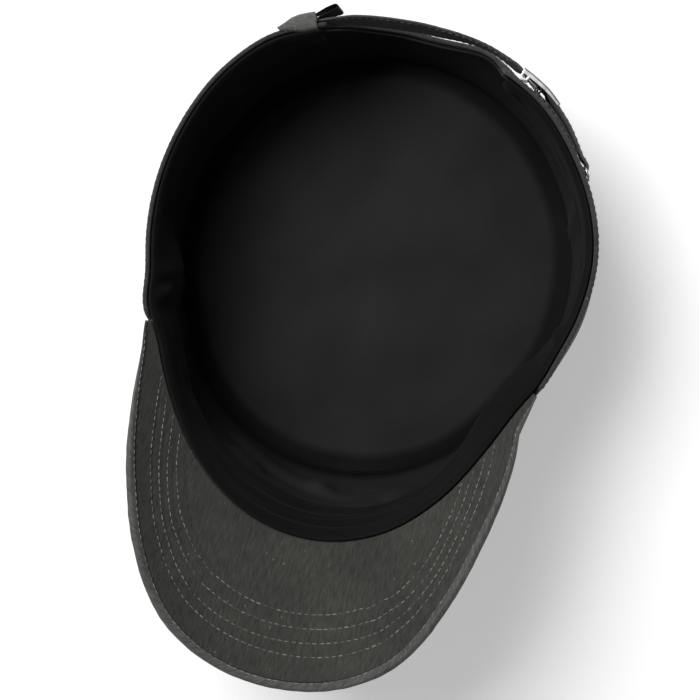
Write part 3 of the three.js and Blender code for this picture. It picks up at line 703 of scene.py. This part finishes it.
def wall_lining_place(u, v):
    turn = ring_turn(u)
    cut = rim_height(turn) - opening_height(turn)
    drop = mix(lining_drop, arch_lining_drop, min(cut / arch_lining_ease, 1))
    height = mix(wall_lining_floor, opening_height(turn) - drop, v)
    hold = min(v * 8, 1) * min((1 - v) * 3, 1)
    return wall_point(turn, height, wall_cloth + lining_gap + fold_stand(turn, height) * hold)


wall_lining = shaped_grid(
    "wall_lining", round_columns + arch_columns, 48, wall_lining_place, (540, 80)
)
thicken(wall_lining, lining_cloth)
# The wall lining is marked for painted shade, darker towards its bottom by the crown seam.
shade_seam(wall_lining, lambda x, y, z: z, 13, 6)
wall_lining.data.materials.append(black_lining)
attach(wall_lining, "root")
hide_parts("wall_lining")

# Sweatband: a soft black cotton strip, 32 mm deep, sewn along the rim from one side of the rear
# opening to the other. Its deep edge hangs free and stands off the lining where the rim bends.

band_cloth = 1.2
band_height = 32
band_flat_length = 500
band_stand = 8
band_end_gap = 1.2
crease_depth = 0.9
# The waves that lie along the band in front: how far round they reach, and their two depths.
front_spread, front_stand, front_waves = 30, 1.6, (0.45, 0.3)
band_table = [
    (0, 0.12), (28, 0.3), (46, 0.85), (62, 1), (76, 0.6), (95, 0.2), (150, 0.15), (180, 0.1),
    (215, 0.12), (262, 0.25), (278, 0.7), (292, 0.6), (312, 0.35), (338, 0.2),
]
# Where the band is rucked up into a short upright fold: turn, spread and how far it stands off.
band_knots = [
    (287, 2.2, 3.2), (281, 1.6, 1.4), (84, 2, 2.4), (161, 2.5, 2.2), (152, 2, 1.6), (206, 3, 1.2),
]
# From the rim down: depth, how far it has come to rest on the lining, and how far it stands off.
band_rest = [(0, 0), (0.14, 1), (0.3, 1), (1, 1)]
band_free = [(0, 0), (0.14, 0), (0.45, 0.4), (0.75, 0.85), (1, 1)]
band_start = arch_turn + arch_half_turn + band_end_gap
band_end = arch_turn - arch_half_turn - band_end_gap + 360
band_rim_inset = wall_cloth + layer_gap
band_deep_inset = wall_cloth + 2 * lining_gap + lining_cloth


def band_place(u, v):
    turn = mix(band_start, band_end, u)
    depth = 1 - v
    height = rim_height(turn) - layer_gap - depth * band_height
    free = min(max(curve_through(band_free, depth), 0), 1)
    rest = min(max(curve_through(band_rest, depth), 0), 1)
    stand = band_stand * curve_round(band_table, turn) * free
    crease = noise.noise(Vector((turn * 0.11, depth * 3.5, 3))) * crease_depth * free
    front = folded(turn) / front_spread
    wave = front_waves[0] * math.sin(depth * 16 + turn * 0.05)
    wave += front_waves[1] * math.sin(depth * 31 - turn * 0.12)
    crease += math.exp(-front * front) * (front_stand * free + wave * min(depth * 3, 1))
    for knot, spread, size in band_knots:
        away = folded(turn - knot) / spread
        crease += size * math.exp(-away * away) * math.sin(math.pi * min(depth * 1.3, 1)) ** 2
    inset = mix(band_rim_inset, band_deep_inset, rest) + max(stand + crease, 0)
    return wall_point(turn, height, inset)


sweatband = shaped_grid("sweatband_cotton", 260, 20, band_place, (band_flat_length, band_height))
thicken(sweatband, band_cloth)
black_cotton = lining_material("black_brushed_cotton", "#0f0f11", "#171719", 0.85)
sweatband.data.materials.append(black_cotton)
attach(sweatband, "root")
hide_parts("sweatband")

# Peak covers: two layers of the twill over a hidden stiffener, one below and one above.
# Four rows of stitches run through all of it, side by side with the edge, and press the cloth in.

peak_reach = 74.1
edge_width, edge_end_width = 3, 1.4
edge_gap = 0.3
lean_power, narrow_power, lean_share = 6, 8, 1 / 3
cover_cloth = 0.95
row_press, row_press_width = 0.3, 0.8
edge_press, edge_press_width = 0.25, 1.1
quilt_high, quilt_fine = 0.16, 0.12
# Reach of the edge from the peak's centre: turn, and a share of peak_reach on its left and right.
edge_table = [
    (0, 1.002, 1.002), (18, 0.995, 0.993), (36, 0.966, 0.96), (48, 0.93, 0.919), (62, 0.897, 0.88),
    (78, 0.892, 0.877), (90, 0.921, 0.908), (102, 0.978, 0.976), (112, 1.057, 1.057), (119, 1.136, 1.128),
]
# Distance of each row from the peak's edge, from its left corner over the tip to the right.
row_table = [
    [(-1, 14.2), (-0.84, 13.2), (-0.6, 11.6), (-0.36, 12.2), (-0.1, 13.2), (0.12, 12.8), (0.36, 11.2),
     (0.52, 9.8), (0.68, 10.5), (0.84, 12.6), (1, 13)],
    [(-1, 19.5), (-0.84, 18.5), (-0.6, 16.3), (-0.36, 16.8), (-0.1, 17.9), (0.12, 18.2), (0.36, 15.8),
     (0.52, 13.8), (0.68, 14.5), (0.84, 17.2), (1, 17.6)],
    [(-1, 24.6), (-0.84, 24), (-0.6, 21.2), (-0.36, 22.6), (-0.1, 23.9), (0.12, 23.8), (0.36, 21.5),
     (0.52, 18.2), (0.68, 19), (0.84, 22.4), (1, 23)],
    [(-1, 30), (-0.84, 29.5), (-0.6, 27.2), (-0.36, 29.2), (-0.1, 29.5), (0.12, 29.5), (0.36, 28),
     (0.52, 23.5), (0.68, 23.8), (0.84, 27), (1, 28.5)],
]


@functools.cache
def edge_corner(side):
    corner = wall_point(side * corner_turn, crown_height, 0)
    across = side * (corner.x - peak_centre_x)
    forward = peak_centre_y - corner.y
    return math.degrees(math.atan2(across, forward)), math.hypot(across, forward) / peak_reach


def edge_plan(along):
    side = -1 if along < 0 else 1
    corner = edge_corner(side)
    near, far = (1, 2) if along < 0 else (2, 1)
    rows = [(-row[0], row[far]) for row in edge_table[:0:-1]]
    rows += [(row[0], row[near]) for row in edge_table] + [corner]
    turn = abs(along) * corner[0]
    reach = peak_reach * curve_through(rows, turn)
    across, back = way_of(turn)
    x, y = peak_centre_x + side * reach * across, peak_centre_y + reach * back
    return Vector((x, y, peak_height(x, y)))


def layer_direction(x, y, lean):
    normal = peak_normal(x, y)
    return Vector((0, 0, 1 / normal.z)).lerp(normal, lean)


def end_lean(along):
    return 1 - abs(along) ** lean_power


@functools.cache
def edge_frame(along):
    """A place on the peak's edge: its point, the way out of the edge, and through the layers."""
    before, after = edge_plan(max(along - 0.004, -1)), edge_plan(min(along + 0.004, 1))
    origin = edge_plan(along)
    normal = peak_normal(origin.x, origin.y)
    outward = (after - before).normalized().cross(normal).normalized()
    return origin, outward, layer_direction(origin.x, origin.y, end_lean(along))


def edge_width_at(along):
    return mix(edge_width, edge_end_width, abs(along) ** narrow_power)


edge_stations = 800
edge_tree = kdtree.KDTree(edge_stations + 1)
for station in range(edge_stations + 1):
    edge_tree.insert(edge_plan(2 * station / edge_stations - 1), station)
edge_tree.balance()


def row_dip(x, y):
    """How far the stitch rows press the cloth in at a place on the peak."""
    _, station, distance = edge_tree.find(Vector((x, y, peak_height(x, y))))
    along = 2 * station / edge_stations - 1
    dip = 0
    for rows in row_table:
        away = (distance - curve_through(rows, along)) / row_press_width
        dip += row_press * math.exp(-away * away)
    edge_away = (distance - edge_width) / edge_press_width
    return dip + edge_press * math.exp(-edge_away * edge_away)


def cover_place(depth, face):
    """Places a cover's visible face: 1 for the underside, which looks up here, and -1 above."""
    def place(u, v):
        along = 1 - 2 * u if face > 0 else 2 * u - 1
        seam = wall_point(along * corner_turn, crown_height, wall_cloth)
        origin, outward, _ = edge_frame(along)
        rim = origin - outward * (edge_width_at(along) + edge_gap)
        x, y = mix(seam.x, rim.x, v), mix(seam.y, rim.y, v)
        direction = layer_direction(x, y, min(v / lean_share, 1) * end_lean(along))
        quilt = quilt_high * noise.noise(Vector((x, y, 20 * face)) * 0.16)
        quilt += quilt_fine * noise.noise(Vector((x, y, 50 * face)) * 0.4)
        fade = min(v * 6, 1) * (1 - abs(along) ** 12)
        below = depth + face * (row_dip(x, y) - quilt) * fade
        return Vector((x, y, peak_height(x, y))) - direction * below
    return place


under_cover = shaped_grid("peak_under_cover_twill", 250, 120, cover_place(0, 1), flat=True)
thicken(under_cover, cover_cloth, 0)
upper_cover = shaped_grid("peak_upper_cover_twill", 250, 120, cover_place(peak_depth, -1), flat=True)
thicken(upper_cover, cover_cloth, 0)
peak_twill = twill_material("faded_olive_grey_drill", "#2c2c2a", "#494945", 0.8, 3)
for cover, node in ((under_cover, "peak_under_cover"), (upper_cover, "peak_upper_cover")):
    cover.data.materials.append(peak_twill)
    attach(cover, "root")
    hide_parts(node)


def inside_seam(point):
    """How far a point of the peak lies outside the seam with the wall."""
    turn = math.degrees(math.atan2(point.x, -point.y))
    seam = wall_point(turn, crown_height, wall_cloth)
    return math.hypot(point.x, point.y) - math.hypot(seam.x, seam.y)


def peak_row(row, face):
    """Path of a stitch row on the peak's underside (1) or upper side (-1)."""
    def point(along):
        origin, outward, _ = edge_frame(round(along, 4))
        flat = origin - outward * curve_through(row_table[row], along)
        return Vector((flat.x, flat.y, peak_height(flat.x, flat.y)))

    ends = []
    for side in (-1, 1):
        along = 0.4 * side
        while abs(along) < 0.995 and inside_seam(point(along)) > 0.8:
            along += 0.004 * side
        ends.append(along)

    def path(t):
        place = point(mix(ends[0], ends[1], t))
        normal = peak_normal(place.x, place.y)
        if face > 0:
            return place - normal * row_press, normal
        return place - normal * (peak_depth - row_press), -normal
    return path


for row in range(len(row_table)):
    sew(f"peak_row_{row + 1}_under", peak_row(row, 1), under_cover)
    sew(f"peak_row_{row + 1}_upper", peak_row(row, -1), upper_cover)

# Peak binding: a strip of the same twill folded over the peak's edge, worn pale on its fold.
# A row of stitches close to its inner side holds it through the peak.

binding_row_end, binding_row_share, binding_row_proud = 0.985, 0.86, 0.33
# Its section: share of its width out from the edge, and tenths of the way through the peak.
binding_section = [
    (-1, -0.1), (-0.97, -0.9), (-0.8, -1.15), (-0.55, -1.2), (-0.3, -0.9), (-0.1, -0.1), (-0.02, 1.6),
    (0, 5.2), (-0.02, 8.8), (-0.1, 10.5), (-0.3, 11.3), (-0.55, 11.6), (-0.8, 11.55), (-0.97, 11.3),
    (-1, 10.5), (-1, 5.2), (-1, -0.1),
]


def binding_place(u, v):
    along = round(1 - 2 * u, 6)
    origin, outward, direction = edge_frame(along)
    out, depth = along_section(binding_section, v)
    depth *= peak_depth / 10.4
    ruck = 0.1 * noise.noise(Vector((along * 45, v * 3, 9)))
    return origin + outward * (out * edge_width_at(along) + ruck) - direction * (depth + ruck)


binding_rows = 2 * (len(binding_section) - 1)
binding = shaped_grid("peak_binding_twill", 300, binding_rows, binding_place, (300, 8))
only(binding)
bpy.ops.object.mode_set(mode="EDIT")
bpy.ops.mesh.select_all(action="DESELECT")
bpy.ops.mesh.select_non_manifold()
bpy.ops.mesh.fill()
bpy.ops.object.mode_set(mode="OBJECT")
point_outwards(binding)
worn_twill = twill_material("worn_binding_drill", "#3c3c3a", "#6a6a67", 0.8, 60)
binding.data.materials.append(worn_twill)
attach(binding, "root")
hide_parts("peak_binding")


def binding_row(face):
    def path(t):
        along = round(mix(-binding_row_end, binding_row_end, t), 5)
        origin, outward, direction = edge_frame(along)
        place = origin - outward * edge_width_at(along) * binding_row_share
        normal = peak_normal(origin.x, origin.y)
        if face > 0:
            return place + direction * binding_row_proud, normal
        return place - direction * (peak_depth + binding_row_proud), -normal
    return path


sew("binding_stitches_under", binding_row(1), binding)
sew("binding_stitches_upper", binding_row(-1), binding)

# Rear strap: a double strip of the twill, 18 mm wide, edge-stitched, that closes the rear opening.
# Its fixed end is folded double and sewn to the wall by short cross rows. It leans in at its lower
# edge over the opening, runs over the buckle's wire and ends in the eyelet.

strap_width = 18
strap_drop = 1.5
strap_cloth = 1
strap_start_turn, strap_fold_turn = 209.6, 202.2
fold_rise, fold_taper, fold_overhang = 2.2, 3.5, 0.4
tab_cloth = 0.5
wire_radius = 0.4
strap_top = crown_height - strap_drop
strap_middle = strap_top - strap_width / 2
roll_radius = wire_radius + layer_gap + tab_cloth
frame_out = layer_gap + roll_radius
strap_lift = 2 * roll_radius + layer_gap
# Where the strap runs clear of the wall: turn, share of the room that the buckle's wire takes, and
# how far its lower edge leans in, in millimetres.
strap_table = [
    (124.6, 0, 0), (125.2, 0, 0), (126.2, 0.51, 0), (127.2, 0.5, 0), (128.6, 0.34, 0.4),
    (130, 0.34, 0.1), (133, 0.5, 0.4), (136, 0.72, 0.8), (141.4, 0.81, 0.8), (144.6, 0.958, 1.1),
    (145.5, 1, 0), (151.8, 1, 0), (152.7, 1, 1.5), (154, 1.25, 2.9), (157, 1.25, 2.9), (161, 1.22, 2.8),
    (165, 1.1, 3), (173, 0.76, 3.4), (183, 0.61, 3.1), (189, 0.55, 3.5), (193, 0.49, 3.7),
    (195.4, 0.34, 2.9), (197.2, 0.2, 2.4), (199.5, 0.1, 1.6), (201.5, 0, 0), (211, 0, 0),
]


def between(rows, turn, column=1):
    """A value read from a table by straight lines between its rows."""
    for low, high in zip(rows, rows[1:]):
        if turn <= high[0]:
            return mix(low[column], high[column], max((turn - low[0]) / (high[0] - low[0]), 0))
    return rows[-1][column]


def strap_out(turn, height):
    lean = between(strap_table, turn, 2) * (strap_top - height) / strap_width
    return layer_gap + strap_lift * between(strap_table, turn) - lean


def strap_point(turn, height, proud=0):
    return wall_point(turn, height, -strap_out(turn, height) - proud)


def strap_place(u, v):
    turn = mix(strap_start_turn, strap_table[0][0], 1 - u)
    return strap_point(turn, strap_top - strap_width * (1 - v), strap_cloth)


strap = shaped_grid("strap_twill", 170, 8, strap_place, (150, 18))
thicken(strap, strap_cloth)
strap_twill = twill_material("strap_drill", "#3a3a3c", "#606062", 0.8, 63)


def fold_out(turn):
    """How far the folded end's outer face stands off the strap's inner one: it thins to its end."""
    return strap_cloth + fold_rise * min(max(strap_start_turn + 0.3 - turn, 0) / fold_taper, 1)


def strap_fold_place(u, v):
    turn = mix(strap_fold_turn + 1.1 * (v - 1) - 0.2, strap_start_turn + 0.3, u)
    drop = (strap_width + 2 * fold_overhang) * (1 - v) - fold_overhang
    return strap_point(turn, strap_top - drop, fold_out(turn))


strap_fold = shaped_grid("strap_end_fold", 20, 8, strap_fold_place, (16, 18))
thicken(strap_fold, strap_cloth)
hem_twill = twill_material("turned_hem_drill", "#4c4c4b", "#787876", 0.8, 48)
for cloth, twill in ((strap, strap_twill), (strap_fold, hem_twill)):
    cloth.data.materials.append(twill)
    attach(cloth, "root")
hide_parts("strap")

# A flap of the twill is turned over the strap's end and the rim, and faces the wall inside.
# Its section: height over the rim, and share of the way from the strap's outer face inwards.
hem_turns = (201.2, 209.8)
hem_section = [
    (-2.5, 0), (0.1, 0.02), (1.1, 0.12), (1.35, 0.4), (1.2, 0.65), (0.6, 0.88), (-0.7, 1), (-3, 1.06),
    (-7, 1.1),
]
hem_reach, hem_proud = 2.2, 0.9
hem_cloth = 0.7
hem_narrow_turn, hem_narrow_run, hem_narrow_share = 204.5, 5, 0.75
cross_pitch = 1.5


def hem_place(u, v):
    rise, share = along_section(hem_section, 1 - v)
    turn = mix(hem_turns[0], hem_turns[1], u) + 0.5 * noise.noise(Vector((v * 4, u * 3, 2)))
    narrow = 1 - hem_narrow_share * min(max(turn - hem_narrow_turn, 0) / hem_narrow_run, 1)
    start = -(fold_out(turn) + hem_proud) * mix(1, narrow, 0.6)
    return wall_point(turn, crown_height + rise, mix(start, hem_reach * narrow, share))


hem = shaped_grid("arch_corner_hem", 24, 24, hem_place, (16, 22))
add_modifier(hem, "SOLIDIFY", thickness=hem_cloth * MM, offset=0)
hem.data.materials.append(hem_twill)
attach(hem, "root")


def hem_cross_row(turn):
    def path(t):
        inset = mix(-fold_out(turn), hem_reach - 0.6, t)
        return wall_point(turn, crown_height + 1.2, inset), Vector((0, 0, 1))
    return path


for row, turn in enumerate((208.4, 206.2, 203.4)):
    sew(f"hem_cross_stitches_{row + 1}", hem_cross_row(turn), hem, cross_pitch)


strap_row_inset, cross_row_inset = 2, 1.5


def strap_row(below, facing, start, end):
    def path(t):
        turn = mix(start, end, t)
        height = strap_top - below
        out = strap_cloth if facing > 0 else 0
        return strap_point(turn, height, out), facing * wall_normal(turn, height)
    return path


for below, edge in ((strap_row_inset, "rim"), (strap_width - strap_row_inset, "crown")):
    sew(f"strap_stitches_outer_{edge}", strap_row(below, 1, 201.5, 127.5), strap)
    sew(f"strap_stitches_inner_{edge}", strap_row(below, -1, 197, 156), strap)


def strap_cross_row(turn):
    def path(t):
        height = strap_top - mix(cross_row_inset, strap_width - cross_row_inset, t)
        return strap_point(turn, height, fold_out(turn)), wall_normal(turn, height)
    return path


for row, turn in enumerate((208.6, 206.4, 203.6)):
    sew(f"strap_cross_stitches_{row + 1}", strap_cross_row(turn), strap_fold)

# Buckle tab: a shorter strip sewn flat to the wall on the other side of the opening.
# Its end is rolled round the buckle's wire and stitched down.

tab_start_turn = 130
tab_seat = 0.3
frame_turn_from, frame_turn_to = 147.3, 151.3
frame_rise = 0.7
tab_flat_share = 0.6
roll_turn = 330


def beside_wall(turn, height, out):
    """Axes at a place beside the wall: out of it, along the rim and up the wall."""
    origin = wall_point(turn, height, -out)
    along = (wall_point(turn + 0.5, height, -out) - origin).normalized()
    above = wall_point(turn, height + strap_width, -out)
    outward = along.cross(above - origin).normalized()
    return origin, outward, along, outward.cross(along)


def tab_place(u, v):
    """Along the wall to the wire, then once round it."""
    height = strap_top - strap_width * (1 - v)
    middle = roll_radius - tab_cloth / 2
    if u < tab_flat_share:
        turn = mix(tab_start_turn, frame_turn_from, u / tab_flat_share)
        return wall_point(turn, height, -tab_seat - tab_cloth)
    origin, outward, along, _ = beside_wall(frame_turn_from, height, tab_seat + tab_cloth + middle)
    angle = math.radians(roll_turn) * (u - tab_flat_share) / (1 - tab_flat_share)
    return origin - outward * middle * math.cos(angle) + along * middle * math.sin(angle)


tab = shaped_grid("buckle_tab_twill", 60, 8, tab_place, (28, 18))
thicken(tab, tab_cloth)
tab.data.materials.append(strap_twill)
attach(tab, "root")
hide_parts("buckle_tab")

# Buckle frame: 0.8 mm steel wire bent to a rectangle with round corners, closed by a weld.
# One side lies in the tab's roll and the other is the pin that the lever turns on.

frame_reach = strap_width / 2 + 2 * layer_gap + wire_radius
satin_steel, steel_tree, steel_shader = new_material("satin_nickel_plate", Metallic=1.0, Roughness=0.3)
node = functools.partial(add_node, steel_tree)
steel_here = node("TexCoord", "Object")
steel_clouds = node("TexNoise", "Fac", {"Vector": steel_here, "Scale": 350, "Detail": 4})
steel_tone = node(
    "Mix", 2, {"Factor": steel_clouds, "A": linear("#b4b5b3"), "B": linear("#dcddda")}, data_type="RGBA"
)
steel_tree.links.new(steel_tone, steel_shader.inputs["Base Color"])
steel_rough = node("MapRange", "Result", {"Value": steel_clouds, "To Min": 0.24, "To Max": 0.42})
steel_tree.links.new(steel_rough, steel_shader.inputs["Roughness"])


def finish_steel(piece):
    point_outwards(piece)
    piece.data.materials.append(satin_steel)
    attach(piece, "root")
    return piece


def squared(angle, power):
    """A circle's x and y at an angle, pushed out towards a square: the less the power, the more."""
    return [math.copysign(abs(f(angle)) ** power, f(angle)) for f in (math.cos, math.sin)]


def wire_loop(name, path, radius):
    """A closed wire along path(t)."""
    def place(u, v):
        here, ahead = path(u % 1), path((u + 0.002) % 1)
        tangent = (ahead - here).normalized()
        away = Vector((here.x, here.y, 0)).normalized()
        across = tangent.cross(away).normalized()
        out = across.cross(tangent)
        angle = 2 * math.pi * v
        return here + out * radius * math.cos(angle) + across * radius * math.sin(angle)
    return finish_steel(shaped_grid(name, 96, 10, place, (60, 3)))


def frame_path(t):
    """A rectangle with rounded corners, bent to the wall and rising towards the lever's pin."""
    x, y = squared(2 * math.pi * t, 0.28)
    share = 0.5 + 0.5 * x
    turn = mix(frame_turn_from, frame_turn_to, share)
    return wall_point(turn, strap_middle + frame_reach * y, -frame_out - frame_rise * share)


buckle_frame = wire_loop("buckle_frame_wire", frame_path, wire_radius)
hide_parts("buckle_frame")

# Buckle lever: a pressed cover of the same nickel-plated steel, 0.5 mm, its long sides turned down.
# It lies over the strap and turns on the wire by a round ear at each side; here it is closed.

lever_turn_from, lever_bend_turn, lever_turn_to = 141.4, 145.5, 152.6
lever_low_share = 0.81
lever_plate = 0.5
lever_out = layer_gap + strap_lift + strap_cloth + layer_gap
lever_half = frame_reach + wire_radius + layer_gap + lever_plate
lever_side, lever_bend, lever_chamfer, lever_taper = 2.2, 0.7, 0.2, 0.35
ear_radius, ear_hole = 1.9, 0.8


def lever_place(u, v):
    """Across the cover: up one turned-down side, over its face and down the other."""
    side = lever_side * (1 - lever_taper * (1 - u) ** 2)
    lower = [
        (-side, -lever_half), (-lever_bend, -lever_half),
        (-lever_chamfer, lever_chamfer - lever_half), (0, lever_bend - lever_half),
    ]
    upper = [(drop, -rise) for drop, rise in reversed(lower)]
    drop, rise = along_section([*lower, (0, 0), *upper], v)
    turn = mix(lever_turn_from, lever_turn_to, u)
    low = max((lever_bend_turn - turn) / (lever_bend_turn - lever_turn_from), 0)
    seat = lever_out - strap_lift * (1 - lever_low_share) * low
    return wall_point(turn, strap_middle + rise, -seat - lever_plate - drop)


lever = shaped_grid("buckle_lever_cover", 28, 48, lever_place, (20, 30))
thicken(lever, lever_plate)
finish_steel(lever)
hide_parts("buckle_lever")


def ear_ring(name, height):
    """A flat round ear with the pin's hole, square to the rim."""
    origin, outward, along, up = beside_wall(frame_turn_to, height, frame_out + frame_rise)
    middle, half_width = (ear_radius + ear_hole) / 2, (ear_radius - ear_hole) / 2

    def place(u, v):
        angle = 2 * math.pi * u
        x, y = squared(2 * math.pi * v, 0.4)
        reach = middle + half_width * x
        flat = outward * reach * math.cos(angle) + along * reach * math.sin(angle)
        return origin + flat + up * lever_plate / 2 * y
    return finish_steel(shaped_grid(name, 40, 16, place, (9, 4)))


ear_ring("buckle_ear_rim", strap_middle + lever_half - lever_plate / 2)
ear_ring("buckle_ear_crown", strap_middle - lever_half + lever_plate / 2)

# Eyelet: an oval ring of the same metal, 1 mm thick, set in the wall beside the opening.
# The end of the strap is pushed through it.

eyelet_turn = 125
eyelet_slot, eyelet_wire, eyelet_clear = 4, 0.5, 1.3
eyelet_half = strap_width / 2 + eyelet_wire + eyelet_clear
eyelet_reach = eyelet_slot / 2 + eyelet_wire


def eyelet_path(t):
    origin, _, along, up = beside_wall(eyelet_turn, strap_middle, layer_gap + eyelet_wire)
    x, y = squared(2 * math.pi * t, 0.5)
    return origin + along * eyelet_reach * x + up * eyelet_half * y


eyelet = wire_loop("eyelet_ring", eyelet_path, eyelet_wire)
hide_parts("eyelet")

# Side tag: a short black ribbon folded in two, caught under the strap's folded end. It is bare.
# Its loop stands away from the strap, so it is seen on edge from above.

tag_turn, tag_tip_turn = 201.6, 196.6
tag_width, tag_cloth = 10, 0.5
tag_drop, tag_lean, tag_twist = 0.5, 2.4, 0.8
# Along the ribbon's top edge, out and back: share of the way to the tip, and distance off the wall.
tag_table = [
    (0, 3), (0.3, 4.1), (0.6, 5.3), (0.85, 6.1), (0.97, 6.4), (1.04, 6.1), (1.02, 5.5), (0.85, 4.7),
    (0.6, 3.7), (0.3, 2.9), (0, 1.6),
]


def tag_place(u, v):
    at = min(u * (len(tag_table) - 1), len(tag_table) - 1.0001)
    k = int(at)
    rows = [tag_table[min(max(k + step, 0), len(tag_table) - 1)] for step in (-1, 0, 1, 2)]
    t = at - k
    share, out = (
        0.5 * (2 * b + (c - a) * t + (2 * a - 5 * b + 4 * c - d) * t * t + (3 * b - a - 3 * c + d) * t ** 3)
        for a, b, c, d in zip(*rows)
    )
    turn = mix(tag_turn, tag_tip_turn - tag_twist * (1 - v), share)
    height = strap_top - tag_drop - tag_width * (1 - v)
    return wall_point(turn, height, -out + tag_lean * (1 - v) * share)


tag = shaped_grid("side_tag_ribbon", 44, 8, tag_place, (24, 10))
thicken(tag, tag_cloth)
ribbon = lining_material("black_woven_ribbon", "#121214", "#2a2a2d", 0.55)
tag.data.materials.append(ribbon)
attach(tag, "root")
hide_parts("side_tag")

bpy.data.objects.remove(stitch)
